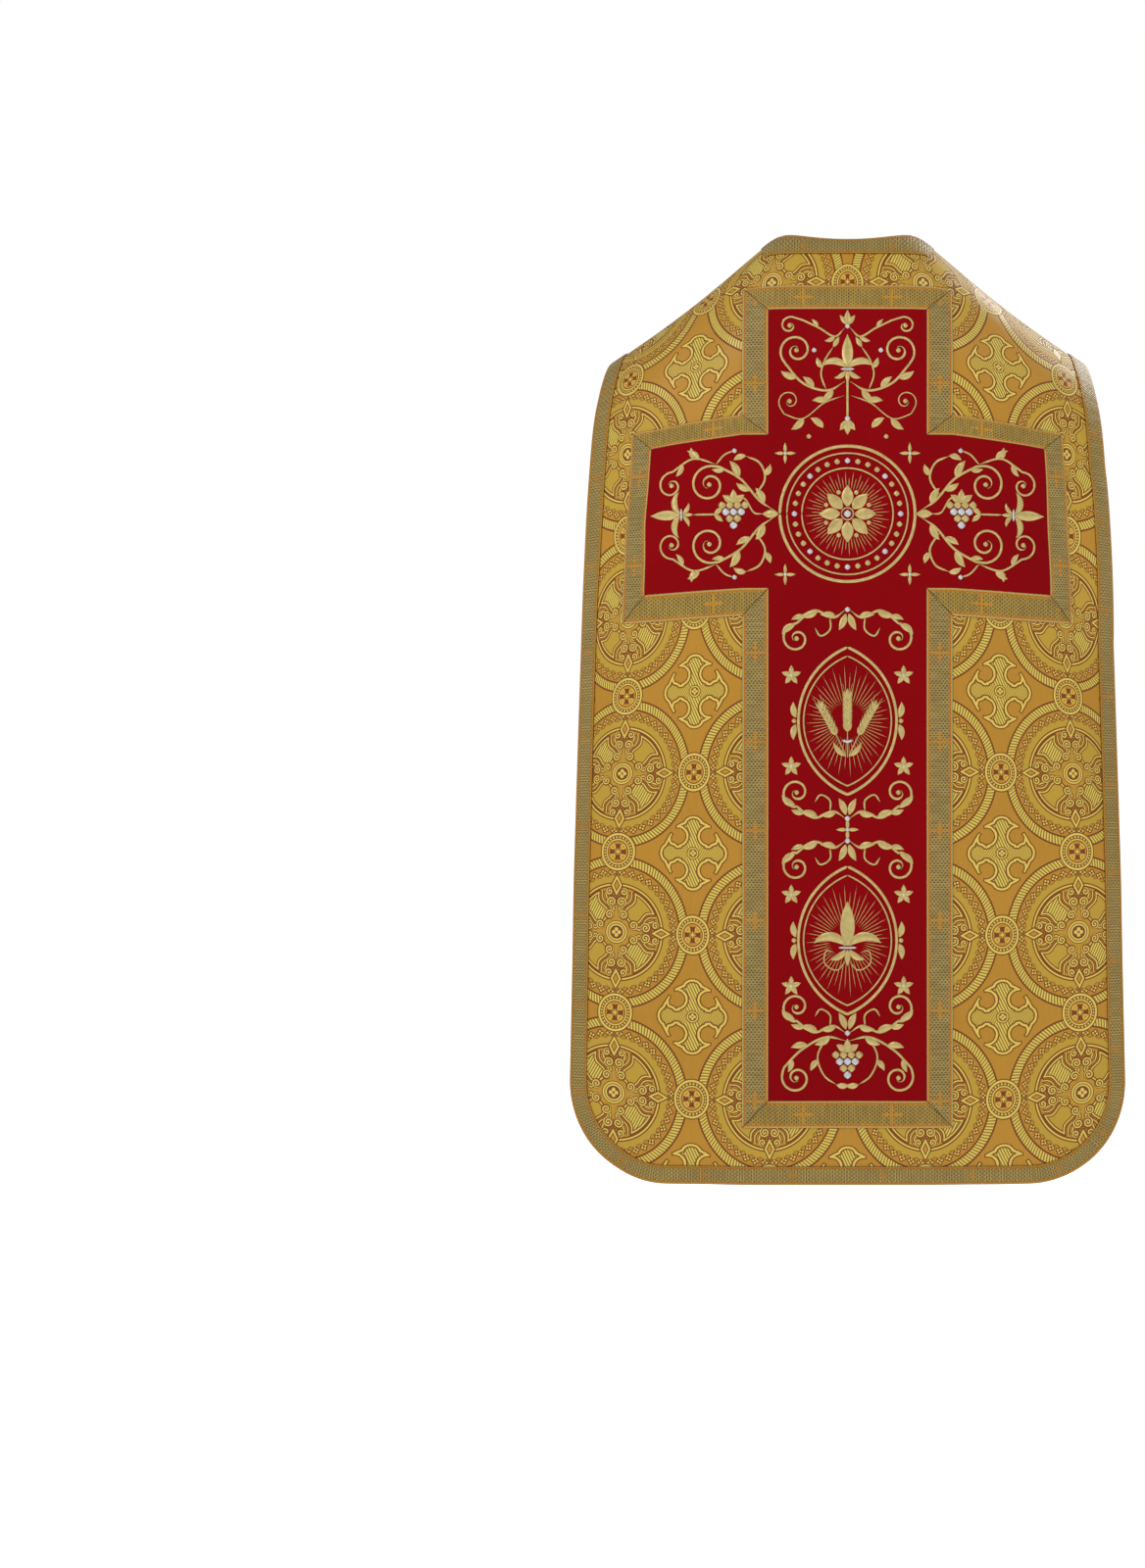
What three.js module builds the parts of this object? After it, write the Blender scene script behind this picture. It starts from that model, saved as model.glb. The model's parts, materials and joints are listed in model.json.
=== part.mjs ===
import * as THREE from 'three';

// A Roman chasuble as it hangs on the shoulders: a broad back that is cut in one with
// the shoulder yokes, a narrower front, a lining, red orphreys and woven galloons.
// Millimetres, +Z up, the front faces -Y. The origin lies between the two neck points,
// where the shoulder line meets the neck opening.

const radians = THREE.MathUtils.degToRad;

// Shoulders and neck
const NECK_HALF = 81;
const NECK_TURN = 15; // softens the bend from the neck into the shoulder line
const BACK_NECK_DIP = 15.4;
const SHOULDER_SLOPE = radians(34.4);
const SHOULDER_TIP = 285; // half-width at the end of the shoulder line
const RIDGE_Y = { neck: 35, tip: -42 }; // the shoulder line runs forward as it falls
const SHOULDER_DIP = 8; // hollow of the shoulder line between neck and tip
const ARCH_DROP = 150; // depth below the shoulder line over which the cloth bends round
const FRONT_NECK = { z: -266, half: 43 }; // foot of the front neck opening

// Trim widths, the orphreys and the hems
const EDGE_TRIM = 20;
const COLUMN = { inner: 60, red: 90, outer: 120 };
const ARM_SHARE = [0.33, 0.665, 0.815]; // mid, red end and galloon end of the cross arm
const CROSSBAR_LOW = -292;
const BACK_HEM = { z: -1102.5, half: 319, round: 112 };
const FRONT_HEM = { z: -1040, half: 293, round: 110 };

// Layers: how far each one's two faces lie outside the panel's inner face
const LAYER = {
  panel: [0, 1.6],
  lining: [-1.3, -0.3],
  orphrey: [1.9, 2.9],
  galloon: [1.9, 3.1],
};
const HALF_SEAM = 0.15;

// Outline of one half, from the shoulder tip to where the hem's corner begins
const BACK_EDGE = [
  { x: SHOULDER_TIP, z: -140 },
  { x: 292, z: -187 },
  { x: 297, z: -224 },
  { x: 303, z: -306 },
  { x: 312, z: -465 },
  { x: 315, z: -686 },
  { x: 317, z: -818 },
  { x: BACK_HEM.half, z: BACK_HEM.z + BACK_HEM.round },
];
const FRONT_EDGE = [
  { x: SHOULDER_TIP, z: -140 },
  { x: 273, z: -143 },
  { x: 257, z: -149 },
  { x: 237, z: -165 },
  { x: 225, z: -188 },
  { x: 211, z: -219 },
  { x: 201, z: -256 },
  { x: 198.5, z: -289 },
  { x: 200, z: -335 },
  { x: 213, z: -430 },
  { x: 243, z: -530 },
  { x: 281.6, z: -620 },
  { x: 293, z: -706 },
  { x: 295, z: -764 },
  { x: 294, z: -850 },
  { x: FRONT_HEM.half, z: FRONT_HEM.z + FRONT_HEM.round },
];

// Hang of each side seen from its end: how far the middle stands from the shoulder plane
// and how far the side edge turns towards the body, in degrees, at a few heights
const BACK_HANG = [
  { z: -150, y: 118, turn: 30 },
  { z: -300, y: 116, turn: 36 },
  { z: -465, y: 114, turn: 40 },
  { z: -800, y: 118, turn: 25 },
  { z: -1102.5, y: 124, turn: 18 },
];
const FRONT_HANG = [
  { z: -150, y: -118, turn: 24 },
  { z: -300, y: -124, turn: 33 },
  { z: -465, y: -127, turn: 34 },
  { z: -700, y: -129, turn: 22 },
  { z: -1040, y: -133, turn: 17 },
];
const FLAT_MIDDLE = 70; // half-width that hangs flat before the sides turn
const TURN_POWER = 1.5;

const BACK = 1;
const FRONT = -1;
const sine = Math.sin(SHOULDER_SLOPE);
const cosine = Math.cos(SHOULDER_SLOPE);
const ridgeFall = sine / cosine;

// ---- Surface ----

/** Distance outward from the neck point, rounded where the shoulder line begins. */
function pastNeck(x) {
  const t = Math.abs(x) - NECK_HALF;
  return (t + Math.hypot(t, NECK_TURN)) / 2;
}

const shoulderShare = (x) => Math.min(1, pastNeck(x) / (SHOULDER_TIP - NECK_HALF));

/** Height of the shoulder line: a straight fall, a little hollow at its middle. */
function ridgeHeight(x) {
  const hollow = SHOULDER_DIP * Math.sin(Math.PI * shoulderShare(x));
  return -pastNeck(x) * ridgeFall - hollow;
}

/** Distance from the shoulder line, square to it; negative below the line. */
function lift(x, z) {
  return (z - ridgeHeight(x)) * cosine;
}

const ridgeY = (x) => THREE.MathUtils.lerp(RIDGE_Y.neck, RIDGE_Y.tip, shoulderShare(x));

/** Value of one column of a table at a height, blended smoothly between its rows. */
function atHeight(table, column, z) {
  const next = table.findIndex((row) => row.z <= z);
  if (next === 0) return table[0][column];
  if (next < 0) return table[table.length - 1][column];
  const [above, below] = [table[next - 1], table[next]];
  const share = THREE.MathUtils.smoothstep(above.z - z, 0, above.z - below.z);
  return above[column] + (below[column] - above[column]) * share;
}

/** Place in space of a point of the cloth, given its half-width, height and side edge. */
function onCloth(side, x, z, edge) {
  const hang = side === BACK ? BACK_HANG : FRONT_HANG;
  const reach = edge - FLAT_MIDDLE;
  const share = Math.max(0, Math.abs(x) - FLAT_MIDDLE) / reach;
  const turn = Math.tan(radians(atHeight(hang, 'turn', z)));
  const inward = (turn * reach * share ** (TURN_POWER + 1)) / (TURN_POWER + 1);
  const plane = atHeight(hang, 'y', z) - side * inward;
  const rise = THREE.MathUtils.clamp(1 + lift(x, z) / ARCH_DROP, 0, 1);
  const ridge = ridgeY(x);
  return new THREE.Vector3(x, ridge + (plane - ridge) * Math.sqrt(1 - rise * rise), z);
}

// ---- Rows, from the back hem over the shoulders to the front hem ----

const rows = [];

/** Adds a level row, or one that falls outward at `fall`, past the column or the neck. */
function addRow(side, z, fall = 0, name = '') {
  rows.push({ side, z, fall, name });
}

/** Adds a row that keeps `drop` below the shoulder line, and lies at z across the middle. */
function addShoulderRow(side, z, drop, name = '') {
  rows.push({ side, z, drop, name });
}

function addEvenRows(side, from, to, count) {
  for (let i = 1; i <= count; i += 1) {
    const share = i / (count + 1);
    const fall = from.fall + (to.fall - from.fall) * share;
    addRow(side, from.z + (to.z - from.z) * share, fall);
  }
}

function addBackRows() {
  const foot = { z: -1008, fall: 0 };
  const armLowOuter = { z: -456, fall: 0.05 };
  const armLow = { z: -424, fall: 0.05 };
  const armTop = { z: -250, fall: 0.11 };
  addRow(BACK, BACK_HEM.z, 0, 'back hem');
  addRow(BACK, BACK_HEM.z + EDGE_TRIM, 0, 'back hem trim');
  addRow(BACK, -1039, 0, 'foot outer');
  addRow(BACK, foot.z, foot.fall, 'foot');
  addEvenRows(BACK, foot, armLowOuter, 5);
  addRow(BACK, armLowOuter.z, armLowOuter.fall, 'arm low outer');
  addRow(BACK, armLow.z, armLow.fall, 'arm low');
  addEvenRows(BACK, armLow, armTop, 2);
  addRow(BACK, armTop.z, armTop.fall, 'arm top');
  addRow(BACK, -226.8, 0.12, 'arm top outer');
  addRow(BACK, -187, 0.25);
  addRow(BACK, -146, 0.4);
  addRow(BACK, -106, 0.55, 'head');
  addShoulderRow(BACK, -77, 45, 'head outer');
  addShoulderRow(BACK, -36, 25, 'back neck trim');
  addShoulderRow(BACK, -26, 8);
  addShoulderRow(BACK, 0, 0, 'ridge');
}

function addFrontRows() {
  const corner = { z: FRONT_HEM.z + FRONT_HEM.round, fall: 0 };
  [6, 24, 53].forEach((drop) => addShoulderRow(FRONT, -drop, drop));
  addRow(FRONT, -100, 0.55);
  addRow(FRONT, -155, 0.38);
  addRow(FRONT, -210, 0.2);
  addRow(FRONT, FRONT_NECK.z, 0, 'crossbar top');
  addRow(FRONT, CROSSBAR_LOW, 0, 'crossbar low');
  addEvenRows(FRONT, { z: CROSSBAR_LOW, fall: 0 }, corner, 9);
  addRow(FRONT, corner.z);
  addRow(FRONT, -975);
  addRow(FRONT, FRONT_HEM.z + EDGE_TRIM, 0, 'front hem trim');
  addRow(FRONT, FRONT_HEM.z, 0, 'front hem');
}

addBackRows();
addFrontRows();

const rowIndex = (name) => rows.findIndex((row) => row.name === name);
const RIDGE_ROW = rowIndex('ridge');
const CHEST_ROW = rowIndex('crossbar top');
const LAST_ROW = rows.length - 1;

/** Height of a row at a half-width. */
function rowHeight(row, x) {
  if (row.name === 'ridge') {
    const dip = Math.max(0, 1 - (x / NECK_HALF) ** 2) * BACK_NECK_DIP;
    return ridgeHeight(x) - dip;
  }
  if ('drop' in row) return Math.min(row.z, ridgeHeight(x) - row.drop);
  const shoulder = (row.fall / ridgeFall) * ridgeHeight(x);
  if (row.side === FRONT) return row.z + shoulder;
  const column = (row.fall / ridgeFall) * ridgeHeight(COLUMN.outer);
  return row.z + Math.min(0, shoulder - column);
}

// ---- Side edges ----

function edgeCurve(table) {
  const points = table.map(({ x, z }) => new THREE.Vector3(x, 0, z));
  const curve = new THREE.CatmullRomCurve3(points, false, 'centripetal');
  return curve.getPoints(30 * table.length);
}

const edgeCurves = { [BACK]: edgeCurve(BACK_EDGE), [FRONT]: edgeCurve(FRONT_EDGE) };

/** Half-width of the side edge where it lies `level` from the shoulder line. */
function edgeAtLevel(side, level) {
  const curve = edgeCurves[side];
  const next = curve.findIndex((p) => lift(p.x, p.z) <= level);
  if (next === 0) return curve[0].x;
  if (next < 0) return curve[curve.length - 1].x;
  const [a, b] = [curve[next - 1], curve[next]];
  const [levelA, levelB] = [lift(a.x, a.z), lift(b.x, b.z)];
  return a.x + ((b.x - a.x) * (levelA - level)) / (levelA - levelB);
}

/** Half-width at which a row meets the side edge, found by repeated substitution. */
function rowEdge(row) {
  if (row.name === 'ridge') return SHOULDER_TIP;
  let x = BACK_HEM.half;
  for (let i = 0; i < 30; i += 1) {
    x = edgeAtLevel(row.side, lift(x, rowHeight(row, x)));
  }
  return x;
}

rows.forEach((row) => {
  row.edge = rowEdge(row);
});

// ---- Columns: centre, neck edge, column edges, arm, trim edge and side edge ----

const TRIM_COLUMN = 7;
const EDGE_COLUMN = 8;

/** Half-widths of the neck edge line and the line beside it, which follow the neck. */
function neckColumns(row, index) {
  if (index > CHEST_ROW || index < rowIndex('head outer')) return [COLUMN.inner, COLUMN.red];
  if (row.side === FRONT) {
    const half = NECK_HALF + ((FRONT_NECK.half - NECK_HALF) * row.z) / FRONT_NECK.z;
    return [half, half + EDGE_TRIM];
  }
  const head = rowIndex('head outer');
  const share = (index - head) / (RIDGE_ROW - head);
  const neck = COLUMN.inner + (NECK_HALF - COLUMN.inner) * share;
  const beside = COLUMN.red + (NECK_HALF + EDGE_TRIM - COLUMN.red) * share;
  return [neck, beside];
}

function columnHalfWidth(column, index) {
  const row = rows[index];
  const [neck, beside] = neckColumns(row, index);
  const reach = row.edge - EDGE_TRIM - COLUMN.outer;
  const arm = ARM_SHARE.map((share) => COLUMN.outer + share * reach);
  return [0, neck, beside, COLUMN.outer, ...arm, row.edge - EDGE_TRIM, row.edge][column];
}

// ---- Points of the grid, with the two lower corners rounded ----

function hemOf(side) {
  return side === BACK ? BACK_HEM : FRONT_HEM;
}

/** Bends the square corner inside the hem trim into a round one. */
function insideCorner(hem, x, z) {
  const radius = hem.round - EDGE_TRIM;
  const centre = { x: hem.half - hem.round, z: hem.z + hem.round };
  const u = (x - centre.x) / radius;
  const v = (centre.z - z) / radius;
  if (u <= 0 || v <= 0) return { x, z };
  return {
    x: centre.x + radius * u * Math.sqrt(1 - (v * v) / 2),
    z: centre.z - radius * v * Math.sqrt(1 - (u * u) / 2),
  };
}

/** Carries a point of the trim's inner line square out to the garment's edge. */
function outToEdge(hem, inner, alongHem) {
  const centre = { x: hem.half - hem.round, z: hem.z + hem.round };
  const [dx, dz] = [inner.x - centre.x, inner.z - centre.z];
  if (alongHem && dx <= 0) return { x: inner.x, z: inner.z - EDGE_TRIM };
  const scale = hem.round / Math.hypot(dx, dz);
  return { x: centre.x + dx * scale, z: centre.z + dz * scale };
}

/** Half-width and height of the grid point at a column and row. */
function outlinePoint(column, index) {
  const row = rows[index];
  const hem = hemOf(row.side);
  const alongHem = index === 0 || index === LAST_ROW;
  const inCorner = row.z < hem.z + hem.round;
  if (alongHem) {
    const beside = index === 0 ? 1 : LAST_ROW - 1;
    return outToEdge(hem, outlinePoint(Math.min(column, TRIM_COLUMN), beside), true);
  }
  if (inCorner && column === EDGE_COLUMN) {
    return outToEdge(hem, outlinePoint(TRIM_COLUMN, index), false);
  }
  const x = columnHalfWidth(column, index);
  return insideCorner(hem, x, rowHeight(row, x));
}

const points = new Map();
const key = (column, index) => `${column},${index}`;

/** Vertices that coincide where the two trims meet at a corner share one name. */
function vertex(column, index) {
  const cornerRow = index <= 1 ? 0 : LAST_ROW;
  const nearHem = index <= 1 || index >= LAST_ROW - 1;
  const onHem = index === 0 || index === LAST_ROW;
  const size = Math.abs(column);
  const atCorner = nearHem && (size === EDGE_COLUMN || (onHem && size === TRIM_COLUMN));
  return atCorner ? key(Math.sign(column) * EDGE_COLUMN, cornerRow) : key(column, index);
}

rows.forEach((row, index) => {
  for (let column = -EDGE_COLUMN; column <= EDGE_COLUMN; column += 1) {
    const { x, z } = outlinePoint(Math.abs(column), index);
    const edge = Math.max(row.edge, x);
    const point = onCloth(row.side, x, z, edge);
    point.x *= Math.sign(column);
    points.set(vertex(column, index), point);
  }
});

// ---- Cells ----

/** Two outward triangles of a cell, its diagonal mirrored between left and right. */
function cellTriangles({ column, row }) {
  const a = vertex(column, row);
  const b = vertex(column + 1, row);
  const c = vertex(column + 1, row + 1);
  const d = vertex(column, row + 1);
  return column < 0 ? [[a, d, c], [a, c, b]] : [[a, d, b], [d, c, b]];
}

const inNeck = (step, row) => row >= RIDGE_ROW && row < CHEST_ROW && step < 1;
const isCorner = (step, row) => step === TRIM_COLUMN && (row === 0 || row === LAST_ROW - 1);

/** All cells for which the rule holds; `step` counts cells outward from the centre. */
function cellsWhere(rule) {
  const cells = [];
  for (let row = 0; row < LAST_ROW; row += 1) {
    for (let column = -EDGE_COLUMN; column < EDGE_COLUMN; column += 1) {
      const step = column < 0 ? -column - 1 : column;
      const real = !inNeck(step, row) && !isCorner(step, row);
      if (real && rule(step, row, column)) cells.push({ column, row });
    }
  }
  return cells;
}

function faceNormal([a, b, c]) {
  const [p, q, r] = [a, b, c].map((name) => points.get(name));
  return q.clone().sub(p).cross(r.clone().sub(p));
}

const normals = new Map();
cellsWhere(() => true).flatMap(cellTriangles).forEach((triangle) => {
  const normal = faceNormal(triangle);
  triangle.forEach((name) => {
    if (!normals.has(name)) normals.set(name, new THREE.Vector3());
    normals.get(name).add(normal);
  });
});
normals.forEach((normal) => normal.normalize());

// ---- Solids ----

/** Directed edges that only one triangle uses. */
function borderEdges(triangles) {
  const edges = new Map();
  triangles.forEach((t) => {
    t.forEach((from, i) => edges.set(`${from}>${t[(i + 1) % 3]}`, [from, t[(i + 1) % 3]]));
  });
  return [...edges.values()].filter(([from, to]) => !edges.has(`${to}>${from}`));
}

/** How far each border vertex steps inward to leave half a seam on either side. */
function seamSteps(border) {
  const inward = new Map();
  border.forEach(([from, to]) => {
    const along = points.get(to).clone().sub(points.get(from));
    [from, to].forEach((name) => {
      const side = normals.get(name).clone().cross(along).normalize();
      inward.set(name, [...(inward.get(name) ?? []), side]);
    });
  });
  const steps = new Map();
  inward.forEach(([first, second], name) => {
    const sum = first.clone().add(second);
    steps.set(name, sum.multiplyScalar(HALF_SEAM / (1 + first.dot(second))));
  });
  return steps;
}

/** Closed wall over a set of cells between a layer's two faces. */
function wallGeometry(cells, [innerFace, outerFace]) {
  const triangles = cells.flatMap(cellTriangles);
  const border = borderEdges(triangles);
  const steps = seamSteps(border);
  const names = [...new Set(triangles.flat())];
  const number = new Map(names.map((name, i) => [name, i]));
  const positions = [outerFace, innerFace].flatMap((offset) => names.flatMap((name) => {
    const point = points.get(name).clone().addScaledVector(normals.get(name), offset);
    return point.add(steps.get(name) ?? new THREE.Vector3()).toArray();
  }));
  const outer = (name) => number.get(name);
  const inner = (name) => number.get(name) + names.length;
  const index = triangles.flatMap(([a, b, c]) => [
    outer(a), outer(b), outer(c), inner(c), inner(b), inner(a),
  ]);
  border.forEach(([from, to]) => {
    index.push(outer(to), outer(from), inner(from));
    index.push(outer(to), inner(from), inner(to));
  });
  const geometry = new THREE.BufferGeometry();
  geometry.setAttribute('position', new THREE.Float32BufferAttribute(positions, 3));
  geometry.setIndex(index);
  geometry.computeVertexNormals();
  return geometry;
}

const brocade = new THREE.MeshStandardMaterial({ color: 0xc8963a, roughness: 0.5 });
const satin = new THREE.MeshStandardMaterial({ color: 0xb06f22, roughness: 0.4 });
const velvet = new THREE.MeshStandardMaterial({ color: 0x8e0008, roughness: 0.9 });
const braid = new THREE.MeshStandardMaterial({ color: 0xa08838, roughness: 0.55 });

const chasuble = new THREE.Group();

function addPiece(name, material, layer, rule) {
  const mesh = new THREE.Mesh(wallGeometry(cellsWhere(rule), layer), material);
  mesh.name = name;
  chasuble.add(mesh);
}

// ---- Panels and lining: the back and its yokes reach over to the seam on the chest ----

const isBackCut = (step, row) => row < CHEST_ROW;
const isFrontCut = (step, row) => row >= CHEST_ROW;

addPiece('back_panel', brocade, LAYER.panel, isBackCut);
addPiece('front_panel', brocade, LAYER.panel, isFrontCut);
addPiece('back_lining', satin, LAYER.lining, isBackCut);
addPiece('front_lining', satin, LAYER.lining, isFrontCut);

// ---- Orphreys: a cross on the back, a column on the front ----

const between = (row, low, high) => row >= rowIndex(low) && row < rowIndex(high);
const COLUMN_CELLS = 2; // cells from the centre to the red column's edge
const ARM_CELLS = 5;

function isCrossRed(step, row) {
  const upright = step < COLUMN_CELLS && between(row, 'foot', 'head');
  return upright || (step < ARM_CELLS && between(row, 'arm low', 'arm top'));
}

function isCrossArea(step, row) {
  const upright = step <= COLUMN_CELLS && between(row, 'foot outer', 'head outer');
  return upright || (step <= ARM_CELLS && between(row, 'arm low outer', 'arm top outer'));
}

const inFrontColumn = (row) => between(row, 'crossbar low', 'front hem trim');

addPiece('back_orphrey', velvet, LAYER.orphrey, isCrossRed);
addPiece('front_orphrey', velvet, LAYER.orphrey,
  (step, row) => step < COLUMN_CELLS && inFrontColumn(row));

// ---- Galloons ----

addPiece('back_cross_galloon', braid, LAYER.galloon,
  (step, row) => isCrossArea(step, row) && !isCrossRed(step, row));
addPiece('crossbar_galloon', braid, LAYER.galloon,
  (step, row) => step < TRIM_COLUMN && between(row, 'crossbar top', 'crossbar low'));
[['left', (column) => column > 0], ['right', (column) => column < 0]].forEach(
  ([wearerSide, isSide]) => {
    addPiece(`front_column_galloon_${wearerSide}`, braid, LAYER.galloon,
      (step, row, column) => step === COLUMN_CELLS && isSide(column) && inFrontColumn(row));
  },
);
addPiece('neck_galloon', braid, LAYER.galloon, (step, row) => {
  const backNeck = step < COLUMN_CELLS && between(row, 'back neck trim', 'ridge');
  return backNeck || (step === 1 && between(row, 'ridge', 'crossbar top'));
});
addPiece('edge_galloon', braid, LAYER.galloon,
  (step, row) => step === TRIM_COLUMN || row === 0 || row === LAST_ROW - 1);

export default chasuble;
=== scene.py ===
"""A Roman chasuble as it hangs on the shoulders: gold brocade, red orphreys embroidered in
gold and silver, and woven galloons. The cloth is worked out in millimetres and goes to
metres where a mesh is made. +Z up, the front faces -Y, +X is the wearer's left."""

import json
import math
from collections import namedtuple
from contextlib import contextmanager

import bpy
import numpy as np
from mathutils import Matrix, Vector
from mathutils.bvhtree import BVHTree

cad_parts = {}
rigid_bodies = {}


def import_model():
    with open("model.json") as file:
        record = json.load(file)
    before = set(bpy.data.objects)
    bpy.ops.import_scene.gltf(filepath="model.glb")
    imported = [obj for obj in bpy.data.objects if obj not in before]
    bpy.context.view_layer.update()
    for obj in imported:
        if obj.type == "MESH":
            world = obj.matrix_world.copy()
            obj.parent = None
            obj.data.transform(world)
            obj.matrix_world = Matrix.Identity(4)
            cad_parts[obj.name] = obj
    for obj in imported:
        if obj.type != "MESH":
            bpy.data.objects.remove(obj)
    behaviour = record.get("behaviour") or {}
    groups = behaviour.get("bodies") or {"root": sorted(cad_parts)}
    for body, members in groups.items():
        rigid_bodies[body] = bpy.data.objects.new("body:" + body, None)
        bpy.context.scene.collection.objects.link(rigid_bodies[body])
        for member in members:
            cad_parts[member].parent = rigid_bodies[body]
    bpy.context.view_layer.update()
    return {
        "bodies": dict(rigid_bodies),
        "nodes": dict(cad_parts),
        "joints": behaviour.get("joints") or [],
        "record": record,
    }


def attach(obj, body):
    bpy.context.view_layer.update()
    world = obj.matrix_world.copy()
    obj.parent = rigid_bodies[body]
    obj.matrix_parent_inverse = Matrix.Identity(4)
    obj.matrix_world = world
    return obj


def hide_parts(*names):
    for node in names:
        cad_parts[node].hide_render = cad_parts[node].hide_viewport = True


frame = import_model()
MM = 0.001
BACK, FRONT = 1, -1

# ---- Sizes of the garment, the same as those of the frame ----

NECK_HALF = 81
NECK_TURN = 15
BACK_NECK_DIP = 15.4
SHOULDER_SLOPE = math.radians(34.4)
SHOULDER_TIP = 285
RIDGE_NECK_Y, RIDGE_TIP_Y = 35, -42
SHOULDER_DIP = 8
ARCH_DROP = 150
FRONT_NECK_Z, FRONT_NECK_HALF = -266, 43
EDGE_TRIM = 20
COLUMN_INNER, COLUMN_RED, COLUMN_OUTER = 60, 90, 120
ARM_SHARE = (0.33, 0.665, 0.815)
CROSSBAR_LOW = -292
HEM = {  # level of the hem, its half-width and the radius of its corners
    BACK: {"z": -1102.5, "half": 319, "round": 112},
    FRONT: {"z": -1040, "half": 293, "round": 110},
}
BACK_EDGE = [
    (SHOULDER_TIP, -140), (292, -187), (297, -224), (303, -306),
    (312, -465), (315, -686), (317, -818), (319, -990.5),
]
FRONT_EDGE = [
    (SHOULDER_TIP, -140), (273, -143), (257, -149), (237, -165), (225, -188), (211, -219),
    (201, -256), (198.5, -289), (200, -335), (213, -430), (243, -530), (281.6, -620),
    (293, -706), (295, -764), (294, -850), (293, -930),
]
HANG = {  # height, the middle's distance from the shoulder plane, turn of the side in degrees
    BACK: [(-150, 118, 30), (-300, 116, 36), (-465, 114, 40), (-800, 118, 25), (-1102.5, 124, 18)],
    FRONT: [(-150, -118, 24), (-300, -124, 33), (-465, -127, 34), (-700, -129, 22),
            (-1040, -133, 17)],
}
FLAT_MIDDLE = 70  # half-width of the strip down the middle that hangs flat
TURN_POWER = 1.5  # how late the sides turn in
RIDGE_FALL = math.tan(SHOULDER_SLOPE)

# Layers: how far each one's two faces lie outside the panel's inner face
PANEL = (0.0, 1.6)
LINING = (-1.5, -0.4)
ORPHREY = (1.9, 2.8)
GALLOON = (1.9, 3.1)
HALF_SEAM = 0.15  # half the gap between two pieces side by side
SEAM_DEPTH = 0.75  # how far a mitre is drawn in
BORDER_SINK = 0.45  # how far a galloon's border lies under its middle
UNDER_TRIM = 2.0  # how far the cloth ends inside the edge galloon
EDGE_LIP = (-0.7, -1.6)  # how the edge galloon rolls: out past the edge, and under it

# ---- Surface ----


def past_neck(x):
    """Distance outward from the neck point, rounded where the shoulder line begins."""
    t = np.abs(x) - NECK_HALF
    return (t + np.hypot(t, NECK_TURN)) / 2


def shoulder_share(x):
    return np.minimum(1, past_neck(x) / (SHOULDER_TIP - NECK_HALF))


def ridge_height(x):
    hollow = SHOULDER_DIP * np.sin(math.pi * shoulder_share(x))
    return -past_neck(x) * RIDGE_FALL - hollow


def lift(x, z):
    """Distance from the shoulder line, square to it; negative below the line."""
    return (z - ridge_height(x)) * math.cos(SHOULDER_SLOPE)


def ridge_y(x):
    return RIDGE_NECK_Y + (RIDGE_TIP_Y - RIDGE_NECK_Y) * shoulder_share(x)


def smooth(share):
    share = np.clip(share, 0, 1)
    return share * share * (3 - 2 * share)


def at_height(side, column, z):
    """Value of one column of a side's hang at a height, blended smoothly between its rows."""
    table = HANG[side]
    value = table[0][column]
    for above, below in zip(table, table[1:]):
        share = smooth((above[0] - z) / (above[0] - below[0]))
        value = value + (below[column] - above[column]) * share
    return value


def plane_y(side, x, z, edge):
    """Where the cloth hangs in depth below the bend of the shoulder."""
    reach = edge - FLAT_MIDDLE
    share = np.maximum(0, np.abs(x) - FLAT_MIDDLE) / reach
    turn = np.tan(np.radians(at_height(side, 2, z)))
    inward = turn * reach * share ** (TURN_POWER + 1) / (TURN_POWER + 1)
    return at_height(side, 1, z) - side * inward


def on_cloth(side, x, z, edge):
    plane, ridge = plane_y(side, x, z, edge), ridge_y(x)
    rise = np.clip(1 + lift(x, z) / ARCH_DROP, 0, 1)
    return np.stack([x, ridge + (plane - ridge) * np.sqrt(1 - rise * rise), z], axis=-1)


# ---- Rows, from the back hem over the shoulders to the front hem ----


# A line across the cloth: level, leaning outward by `fall`, or `drop` under the shoulder line.
# `cells` is how many fine cells lie between it and the next row.
Row = namedtuple("Row", "side z cells fall drop name", defaults=(None, None, ""))
rows = []


def add_row(side, z, cells, fall=0.0, name=""):
    rows.append(Row(side, z, cells, fall=fall, name=name))


def add_even_rows(side, start, end, count, cells):
    """Rows between two (height, fall) pairs, neither of which is added."""
    for i in range(1, count + 1):
        share = i / (count + 1)
        add_row(side, start[0] + (end[0] - start[0]) * share, cells,
                start[1] + (end[1] - start[1]) * share)


def add_back_rows():
    hem = HEM[BACK]["z"]
    foot, arm_low_outer, arm_low, arm_top = (-1008, 0), (-456, 0.05), (-424, 0.05), (-250, 0.11)
    add_row(BACK, hem, 8, name="back hem")
    add_row(BACK, hem + EDGE_TRIM, 8, name="back hem trim")
    add_row(BACK, -1039, 10, name="foot outer")
    add_row(BACK, foot[0], 15, name="foot")
    add_even_rows(BACK, foot, arm_low_outer, 5, 15)
    add_row(BACK, arm_low_outer[0], 10, arm_low_outer[1], "arm low outer")
    add_row(BACK, arm_low[0], 10, arm_low[1], "arm low")
    add_even_rows(BACK, arm_low, arm_top, 2, 10)
    add_row(BACK, arm_top[0], 10, arm_top[1], "arm top")
    add_row(BACK, -226.8, 7, 0.12, "arm top outer")
    add_row(BACK, -187, 7, 0.25)
    add_row(BACK, -146, 7, 0.4)
    add_row(BACK, -106, 10, 0.55, "head")
    for z, drop, cells, name in ((-77, 45, 8, "head outer"), (-36, 25, 6, "back neck trim"),
                                 (-26, 8, 9, ""), (0, 0, 6, "ridge")):
        rows.append(Row(BACK, z, cells, drop=drop, name=name))


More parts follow.
